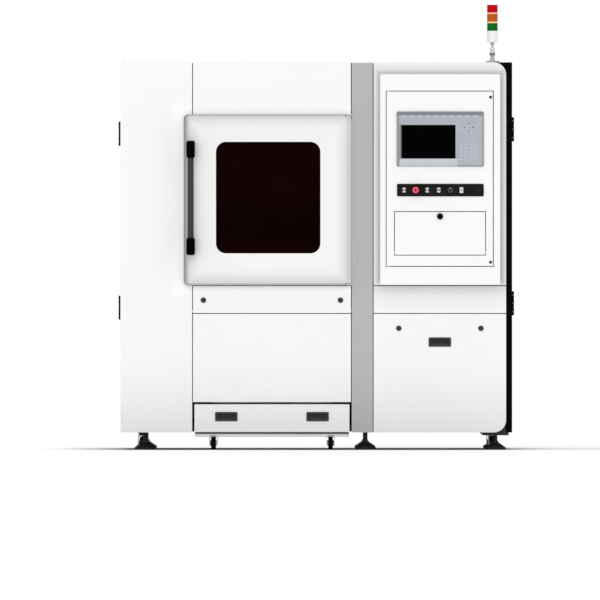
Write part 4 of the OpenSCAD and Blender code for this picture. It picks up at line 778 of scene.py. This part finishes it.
def pick(obj, test, kind="FACE"):
    """Opens the active piece and selects the faces or edges that pass a test on place and direction."""
    bpy.ops.object.mode_set(mode="EDIT")
    bpy.ops.mesh.select_mode(type=kind)
    bpy.ops.mesh.select_all(action="DESELECT")
    bpy.ops.object.mode_set(mode="OBJECT")
    mesh = obj.data
    if kind == "FACE":
        for face in mesh.polygons:
            face.select = test(face.center, face.normal)
    else:
        for edge in mesh.edges:
            start, end = (mesh.vertices[i].co for i in edge.vertices)
            edge.select = test((start + end) / 2, (end - start).normalized())
    bpy.ops.object.mode_set(mode="EDIT")


def extrude(x, y, z):
    """Extrudes the picked faces of the open piece."""
    bpy.ops.mesh.extrude_region_move(TRANSFORM_OT_translate={"value": (x, y, z)})


def bevel(offset, segments):
    """Bevels the picked edges of the open piece."""
    bpy.ops.mesh.bevel(offset=offset, segments=segments, affect="EDGES")


def drop(*pieces):
    """Removes pieces that served as tools."""
    for obj in pieces:
        bpy.data.objects.remove(obj, do_unlink=True)


def modify(obj, kind, **options):
    """Puts a modifier on a piece and applies it."""
    alone(obj)
    modifier = obj.modifiers.new(kind, kind)
    for key, option in options.items():
        setattr(modifier, key, option)
    bpy.ops.object.modifier_apply(modifier=kind)


def cut_away(obj, cutter):
    """Cuts one piece out of another and removes the cutter."""
    modify(obj, "BOOLEAN", operation="DIFFERENCE", solver="EXACT", object=cutter)
    drop(cutter)


def soften(obj, width, angle=35.0):
    """Rounds the edges of a piece that are sharper than an angle."""
    sharp = math.radians(angle)
    modify(obj, "BEVEL", width=width, segments=2, limit_method="ANGLE", angle_limit=sharp)


def settle(obj, name, body, material, angle=32.0):
    """Names, smooths, paints and mounts a finished piece."""
    alone(obj)
    bpy.ops.object.transform_apply(location=True, rotation=True, scale=True)
    bpy.ops.object.shade_smooth_by_angle(angle=math.radians(angle))
    obj.name = name
    obj.data.name = name
    dress(obj, material)
    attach(obj, body)
    obj.select_set(False)


def rounded_prism(a, b, radius, segments=12):
    """Block along y with four round corners."""
    obj = block(a, b)
    pick(obj, lambda mid, along: abs(along.y) > ALONG, "EDGE")
    bevel(radius, segments)
    return obj


class LASER_OT_front_door(bpy.types.Operator):
    """Models the crowned front door with its rounded hinge nose, window opening and pane rebate"""

    bl_idname = "laser.front_door"
    bl_label = "Model Front Door"

    def execute(self, context):
        steps = context.scene.laser_detail.crown_steps
        a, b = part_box("front_door")
        pane_a, pane_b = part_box("door_window")
        rim, nose, border, corner = 32 * MM, 17 * MM, 65 * MM, 20 * MM
        lip, rebate, rebate_top, window_corner = 10 * MM, 14 * MM, 11 * MM, 48 * MM
        tab, gap, back = 8 * MM, 1 * MM, 14 * MM
        through, past = 20 * MM, 10 * MM
        crown = (b.y - a.y) - rim
        door = block((a.x, b.y - rim, a.z), b)
        pick(door, lambda mid, along: abs(along.y) > ALONG and mid.x < a.x + MM, "EDGE")
        bevel(corner, 8)
        pick(door, lambda mid, along: abs(along.z) > ALONG and mid.x > b.x - MM, "EDGE")
        bevel(rim / 2 - 0.2 * MM, 8)
        pick(door, lambda mid, normal: normal.y < -SQUARE_ON)
        width, height = (b.x - nose) - a.x, b.z - a.z
        centre = Vector((a.x + width / 2, b.y - rim, (a.z + b.z) / 2))
        inset, depth = 0.0, 0.0
        for i in range(1, steps + 1):
            turn = math.pi / 2 * i / steps
            to_inset, to_depth = border * (1 - math.cos(turn)), crown * math.sin(turn)
            extrude(0, depth - to_depth, 0)
            across = (width - 2 * to_inset) / (width - 2 * inset)
            along = (height - 2 * to_inset) / (height - 2 * inset)
            bpy.ops.transform.resize(value=(across, 1, along), center_override=centre)
            inset, depth = to_inset, to_depth
        window_a = (pane_a.x + rebate, a.y - through, pane_a.z + rebate)
        window_b = (pane_b.x - rebate, b.y + through, pane_b.z - rebate_top)
        cut_away(door, rounded_prism(window_a, window_b, window_corner))
        bed_a, bed_b = (pane_a.x, a.y + lip, pane_a.z), (pane_b.x, b.y + through, pane_b.z)
        cut_away(door, rounded_prism(bed_a, bed_b, window_corner + rebate))
        for foot, top in ((a.z - past, a.z + tab + gap), (b.z - tab - gap, b.z + past)):
            notch = block((b.x - nose - back, a.y - past, foot), (b.x + past, b.y + past, top))
            cut_away(door, notch)
        soften(door, 1.2 * MM, 40.0)
        settle(door, "door_shell", "front_door", door_coat(context.scene.laser_finish), 30.0)
        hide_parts("front_door")
        return {"FINISHED"}


class LASER_OT_seals(bpy.types.Operator):
    """Models the rubber seals round the back of the front door and in the gap between the two cabinets"""

    bl_idname = "laser.seals"
    bl_label = "Model Seals"

    def execute(self, context):
        width = context.scene.laser_detail.seal_width
        rubber = moulded("door_seal_rubber", RUBBER, 0.6, 0.2, 500.0)
        a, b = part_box("front_door")
        thick, inset, past = 3.2 * MM, 22 * MM, 10 * MM
        outer_a = Vector((a.x + inset, b.y - MM, a.z + inset))
        outer_b = Vector((b.x - 2 * inset, b.y + thick, b.z - inset))
        seal = rounded_prism(outer_a, outer_b, 18 * MM, 6)
        hole_a = outer_a + Vector((width, -past, width))
        hole_b = outer_b + Vector((-width, past, -width))
        cut_away(seal, rounded_prism(hole_a, hole_b, 10 * MM, 6))
        soften(seal, 1.0 * MM, 50.0)
        settle(seal, "door_seal", "front_door", rubber, 40.0)
        a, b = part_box("pillar")
        wall, front, deep = low("cabinet_body").x, SKIN_Y + 38 * MM, 14 * MM
        gap, grip, end = 6 * MM, 0.5 * MM, 8 * MM
        strip_a = (wall - gap - grip, front, a.z + end)
        strip = block(strip_a, (wall + grip, front + deep, b.z - end))
        pick(strip, lambda mid, normal: normal.y < -ALONG)
        bpy.ops.mesh.inset(thickness=2 * MM, depth=0.0)
        extrude(0, 3 * MM, 0)
        soften(strip, 0.6 * MM, 50.0)
        settle(strip, "cabinet_seal", "machine", rubber, 40.0)
        return {"FINISHED"}


def copy_of(source, matrix):
    """Copy of a piece with a mesh of its own, moved by a matrix."""
    obj = source.copy()
    obj.data = source.data.copy()
    bpy.context.scene.collection.objects.link(obj)
    obj.data.transform(matrix)
    return obj


def joined(pieces):
    """Joins several pieces to one."""
    alone(pieces[0])
    for obj in pieces:
        obj.select_set(True)
    if len(pieces) > 1:
        bpy.ops.object.join()
    return pieces[0]


def copies(source, places, way, name, body, slot, material):
    """Copies a piece made at the origin along -y to several places, turned one way, as one group."""
    turn = Vector(FRONT).rotation_difference(Vector(way)).to_matrix().to_4x4()
    made = [copy_of(source, Matrix.Translation(place) @ turn) for place in places]
    settle(joined(made), name, body, material, 40.0)


def round_head(radius, height, wall, corners=12):
    """Round head along -y from the origin, with a bevelled rim and a socket in a wall given as a share."""
    alone()
    bpy.ops.mesh.primitive_cylinder_add(
        vertices=corners, radius=radius, depth=height,
        rotation=(math.pi / 2, 0, 0), location=(0, -height / 2, 0),
    )
    obj = bpy.context.object
    bpy.ops.object.transform_apply(location=True, rotation=True, scale=True)
    rim, sunk, near = min(height, radius) * 0.45, height * 0.55, 1e-6
    pick(obj, lambda mid, along: abs(mid.y + height) < near, "EDGE")
    bevel(rim, 2)
    pick(obj, lambda mid, normal: normal.y < -SQUARE_ON)
    bpy.ops.mesh.inset(thickness=radius * wall, depth=0.0)
    extrude(0, sunk, 0)
    alone()
    return obj


def slotted_head(radius, height, slot_width, corners=32):
    """Round lock head with a bevelled rim, a socket and a straight slot, its axis along -y."""
    obj = round_head(radius, height, 0.25, corners)
    half_width, half_length = slot_width / 2, radius * 1.1 / 2
    past, bottom = -height * 1.2, -height * 0.3
    cut_away(obj, block((-half_width, past, -half_length), (half_width, bottom, half_length)))
    return obj


class LASER_OT_locks(bpy.types.Operator):
    """Models the two small locks of the console door and the quarter-turn locks of the side doors"""

    bl_idname = "laser.locks"
    bl_label = "Model Locks"

    def execute(self, context):
        sizes = context.scene.laser_detail
        a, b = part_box("console_door")
        head = slotted_head(sizes.console_lock_radius, 2.5 * MM, 2 * MM, 24)
        places = [(b.x - 11 * MM, CONSOLE_Y, z) for z in (b.z - 27 * MM, a.z + 18 * MM)]
        black = moulded("console_lock_black", grey(0.004), 0.4, 0.2)
        copies(head, places, FRONT, "console_locks", "console_door", "black_plastic", black)
        drop(head)
        head = slotted_head(sizes.side_lock_radius, 3 * MM, 3 * MM)
        black = moulded("side_lock_black", grey(0.006), 0.4, 0.25)
        steel = brushed("side_lock_steel", (0.45, 0.45, 0.46), 0.35, (300, 300, 300))
        for side, x, way, finish in (("left", LEFT_X, -1, black), ("right", RIGHT_X, 1, steel)):
            body = side + "_side_door"
            a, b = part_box(body)
            places = [(x, b.y - 54 * MM, a.z + share * (b.z - a.z)) for share in (0.24, 0.76)]
            copies(head, places, (way, 0, 0), side + "_side_locks", body, "black_plastic", finish)
        drop(head)
        return {"FINISHED"}


def evenly(start, end, count):
    """Evenly spaced places from start to end."""
    return [start + i * (end - start) / (count - 1) for i in range(count)]


def round_about(centre, radius, count, first):
    """Places on a circle as pairs, from a first angle."""
    x, y = centre
    turns = [first + math.tau * i / count for i in range(count)]
    return [(x + radius * math.cos(turn), y + radius * math.sin(turn)) for turn in turns]


class LASER_OT_screws(bpy.types.Operator):
    """Models the screws of the rear sheet, roof, spigot, hinges, tower foot, switch plate and rails"""

    bl_idname = "laser.screws"
    bl_label = "Model Screws"

    def execute(self, context):
        radius = context.scene.laser_detail.screw_radius
        zinc = brushed("screw_zinc", (0.52, 0.53, 0.55), 0.3, (300, 300, 300))
        black = moulded("screw_black", grey(0.012), 0.4, 0.3)
        head = round_head(radius, 0.55 * radius, 0.45)
        small = round_head(3.2 * MM, 1.2 * MM, 0.45)
        flat = round_head(5.5 * MM, 0.2 * MM, 0.4)
        inset = 16 * MM
        on_machine = ("machine", "castor_steel", zinc)
        a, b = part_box("rear_panel")
        rows = evenly(a.z + inset, b.z - inset, 7)
        rear = [(x, REAR_Y, z) for x in (a.x + inset, b.x - inset) for z in rows]
        inner = evenly(a.x + inset, b.x - inset, 5)[1:-1]
        rear += [(x, REAR_Y, z) for x in inner for z in (rows[0], rows[-1])]
        copies(head, rear, REAR, "rear_screws", *on_machine)
        a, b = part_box("roof_panel")
        deep = evenly(a.y + 3 * inset, b.y - 3 * inset, 5)
        roof = [(x, y, b.z) for x in (a.x + inset, b.x - inset) for y in deep]
        copies(head, roof, UP, "roof_screws", *on_machine)
        a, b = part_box("exhaust_spigot")
        mid = middle("exhaust_spigot")
        ring = round_about((mid.x, mid.z), (b.x - a.x) / 2 - 14 * MM, 8, math.pi / 8)
        copies(head, [(x, a.y + 3 * MM, z) for x, z in ring], REAR, "spigot_bolts", *on_machine)
        leaf, hinge_pitch, screw_pitch, proud = 17 * MM, 836 * MM, 40 * MM, 2 * MM
        for side, x, way, lower in (
            ("left", LEFT_X - proud, (-1, 0, 0), 682 * MM),
            ("right", RIGHT_X + proud, (1, 0, 0), 703 * MM),
        ):
            body = side + "_side_door"
            axis = low(body).y + 2 * MM
            rows = [lower + rise + i * screw_pitch for rise in (0.0, hinge_pitch) for i in (-1, 0, 1)]
            fixed = [(x, axis - leaf, z) for z in rows]
            moving = [(x, axis + leaf, z) for z in rows]
            copies(small, fixed, way, side + "_hinge_screws", *on_machine)
            copies(small, moving, way, side + "_leaf_screws", body, "castor_steel", zinc)
        mid, top = middle("tower_foot"), low("tower_foot").z + 7 * MM
        ring = round_about((mid.x, mid.y), 24 * MM, 3, math.pi / 2)
        copies(small, [(x, y, top) for x, y in ring], UP, "tower_screws", *on_machine)
        a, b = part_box("long_rails")
        runs = evenly(a.y + 30 * MM, b.y - 30 * MM, 15)
        rails = [(x, y, b.z) for x in (a.x + 14 * MM, b.x - 14 * MM) for y in runs]
        copies(flat, rails, UP, "rail_bolts", "machine", "black_plastic", black)
        end = [(high("switch_plate").x - 22 * MM, PLATE_Y, SWITCH_Z)]
        copies(small, end, FRONT, "switch_plate_screw", "console_door", "black_plastic", black)
        drop(head, small, flat)
        return {"FINISHED"}


class LASER_OT_key_marks(bpy.types.Operator):
    """Models the four arrow marks on the round keys of the display"""

    bl_idname = "laser.key_marks"
    bl_label = "Model Key Marks"

    def execute(self, context):
        x, z = high("screen_glass").x + 63.5 * MM, low("display_panel").z + 188 * MM
        step, rise, face = 21 * MM, 19 * MM, FILM_Y - 0.8 * MM
        alone()
        bpy.ops.mesh.primitive_cylinder_add(vertices=3, radius=5.5 * MM, depth=0.3 * MM)
        mark = bpy.context.object
        pick(mark, lambda mid, along: abs(along.z) > ALONG, "EDGE")
        bevel(0.8 * MM, 2)
        alone()
        made = []
        for across, along in ((-1, 0), (1, 0), (0, -1), (0, 1)):
            point = Matrix.Rotation(math.atan2(along, across) - math.pi / 2, 4, "Z")
            turn = Matrix.Rotation(math.pi / 2, 4, "X") @ point
            place = Matrix.Translation((x + across * step, face, z + along * rise))
            made.append(copy_of(mark, place @ turn))
        drop(mark)
        ink = moulded("key_ink", (0.02, 0.02, 0.03), 0.5, 0.2)
        settle(joined(made), "key_arrows", "console_door", ink)
        return {"FINISHED"}


class LASER_OT_tray_lip(bpy.types.Operator):
    """Models the hemmed lip under the front of the scrap trolley, with the pads of its castors"""

    bl_idname = "laser.tray_lip"
    bl_label = "Model Trolley Lip"

    def execute(self, context):
        a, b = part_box("scrap_tray")
        wall, hem, lip_depth, lip_drop, side = a.y + 20 * MM, a.z + 5.5 * MM, 5 * MM, 8.5 * MM, 2 * MM
        lip = block((a.x + side, wall - lip_depth, a.z - lip_drop), (b.x - side, wall, hem))
        pick(lip, lambda mid, normal: normal.z > ALONG)
        extrude(0, 0, 0.3 * MM)
        bpy.ops.transform.resize(value=(1, 0.4, 1), center_override=(0, wall, hem))
        extrude(0, 0, 9 * MM)
        soften(lip, 0.8 * MM)
        # The web above the hem takes the painted shadow of the fold
        settle(lip, "tray_lip", "trolley", tray_coat(context.scene.laser_finish))
        pad_half = 15.5 * MM
        pad = block((-pad_half, -1.5 * MM, -lip_drop), (pad_half, 0.5 * MM, 0.2 * MM))
        pick(pad, lambda mid, normal: normal.y < -ALONG)
        bpy.ops.mesh.inset(thickness=2 * MM, depth=0.4 * MM)
        soften(pad, 0.4 * MM)
        fork_a, fork_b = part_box("castor_forks")
        fork_half = 21 * MM
        places = [(x, wall - lip_depth, a.z) for x in (fork_a.x + fork_half, fork_b.x - fork_half)]
        # Dark steel, darker than the zinc forks, partly the pads' own colour and partly painted shade from
        # the trolley above
        steel = brushed("castor_pad_steel", (0.26, 0.26, 0.27), 0.42, (200, 200, 200), 0.4, 0.3)
        copies(pad, places, FRONT, "castor_pads", "trolley", "castor_steel", steel)
        drop(pad)
        return {"FINISHED"}


def pale_floor():
    """Pale floor finish with a painted soft shadow under and beside the machine."""
    look = Finish("pale_floor", 0.2)
    a, b = CAD_BOX
    # Painted shadow round the footprint, moved a little to the left
    shift, under, reach = 0.08, 0.10, 0.40
    across = look.less(look.off(look.x, (a.x + b.x) / 2 - shift), (b.x - a.x) / 2)
    along = look.less(look.off(look.y, (a.y + b.y) / 2), (b.y - a.y) / 2)
    across, along = (look.math("MAXIMUM", look.math("ADD", d, under), 0.0) for d in (across, along))
    clean = look.mottle(0.8, grey(0.99), grey(0.98), 3.0)
    look.gloss(look.noise(2.0, 3.0), 0.50, 0.60)
    return look.done(look.fade(clean, look.length(across, along), reach, 0.0, 0.72, grey(0.22)))


def studio_world(level):
    """Even light from all sides, and plain white where it is seen or mirrored."""
    world = bpy.data.worlds.new("studio")
    world.use_nodes = True
    tree = world.node_tree
    tree.nodes.clear()
    rays = tree.nodes.new("ShaderNodeLightPath").outputs
    seen = rays["Is Camera Ray"]
    for kind in ("Is Glossy Ray", "Is Transmission Ray"):
        seen = add_node(tree, "Math", 0, {0: seen, 1: rays[kind]}, operation="MAXIMUM")
    even, plain = (add_node(tree, "Background", 0, {"Color": grey(1), "Strength": s}) for s in (level, 1.0))
    blend = add_node(tree, "MixShader", 0, {0: seen, 1: even, 2: plain})
    put(tree, tree.nodes.new("ShaderNodeOutputWorld").inputs["Surface"], blend)
    return world


class LASER_OT_stage(bpy.types.Operator):
    """Sets the pale floor, the soft light and the camera"""

    bl_idname = "laser.stage"
    bl_label = "Set Stage"

    def execute(self, context):
        scene = context.scene
        settings = scene.laser_stage
        alone()
        bpy.ops.mesh.primitive_circle_add(vertices=96, radius=settings.floor_radius, fill_type="NGON")
        floor = bpy.context.object
        floor.name = "floor"
        dress(floor, pale_floor())
        scene.world = studio_world(settings.sky_level)
        lamp_spread = math.radians(50)
        for name, power, way in (
            ("key", settings.key_power, (0.12, 0.93, -0.34)),
            ("top", settings.top_power, (0, 0, -1)),
        ):
            lamp = bpy.data.lights.new(name, "SUN")
            lamp.energy = power
            lamp.angle = lamp_spread
            light = bpy.data.objects.new(name, lamp)
            scene.collection.objects.link(light)
            light.rotation_euler = Vector(way).to_track_quat("-Z", "Y").to_euler()
        camera = bpy.data.cameras.new("camera")
        camera.sensor_width = 36.0
        camera.lens = camera.sensor_width * settings.camera_distance / settings.view_width
        camera.clip_start = 10.0
        camera.clip_end = 300.0
        eye = bpy.data.objects.new("camera", camera)
        scene.collection.objects.link(eye)
        eye.location = (settings.aim_x, SKIN_Y - settings.camera_distance, settings.aim_z)
        eye.rotation_euler = (math.pi / 2, 0, 0)
        scene.camera = eye
        scene.view_settings.view_transform = "Standard"
        return {"FINISHED"}


class LASER_PT_looks(bpy.types.Panel):
    """Lists the steps that dress the machine"""

    bl_idname = "LASER_PT_looks"
    bl_label = "Laser Cutter"
    bl_space_type = "VIEW_3D"
    bl_region_type = "UI"
    bl_category = "Laser Cutter"

    def draw(self, context):
        for group, _ in SETTINGS:
            settings = getattr(context.scene, group)
            for key in settings.__annotations__:
                self.layout.prop(settings, key)
        for operator in OPERATORS:
            self.layout.operator(operator.bl_idname)


SETTINGS = (
    ("laser_finish", LaserFinishSettings),
    ("laser_detail", LaserDetailSettings),
    ("laser_stage", LaserStageSettings),
)
OPERATORS = (
    LASER_OT_paint_panels,
    LASER_OT_paint_metal,
    LASER_OT_paint_fittings,
    LASER_OT_front_door,
    LASER_OT_seals,
    LASER_OT_locks,
    LASER_OT_screws,
    LASER_OT_key_marks,
    LASER_OT_tray_lip,
    LASER_OT_stage,
)


def register():
    """Registers the settings, the operators and the panel."""
    for key, group in SETTINGS:
        bpy.utils.register_class(group)
        setattr(bpy.types.Scene, key, bpy.props.PointerProperty(type=group))
    for cls in (*OPERATORS, LASER_PT_looks):
        bpy.utils.register_class(cls)


def unregister():
    """Takes them away again."""
    for cls in (LASER_PT_looks, *reversed(OPERATORS)):
        bpy.utils.unregister_class(cls)
    for key, group in reversed(SETTINGS):
        delattr(bpy.types.Scene, key)
        bpy.utils.unregister_class(group)


def main():
    """Dresses the machine."""
    register()
    bpy.ops.laser.paint_panels()
    bpy.ops.laser.paint_metal()
    bpy.ops.laser.paint_fittings()
    bpy.ops.laser.front_door()
    bpy.ops.laser.seals()
    bpy.ops.laser.locks()
    bpy.ops.laser.screws()
    bpy.ops.laser.key_marks()
    bpy.ops.laser.tray_lip()
    bpy.ops.laser.stage()
    bpy.context.view_layer.update()


if __name__ == "__main__":
    main()
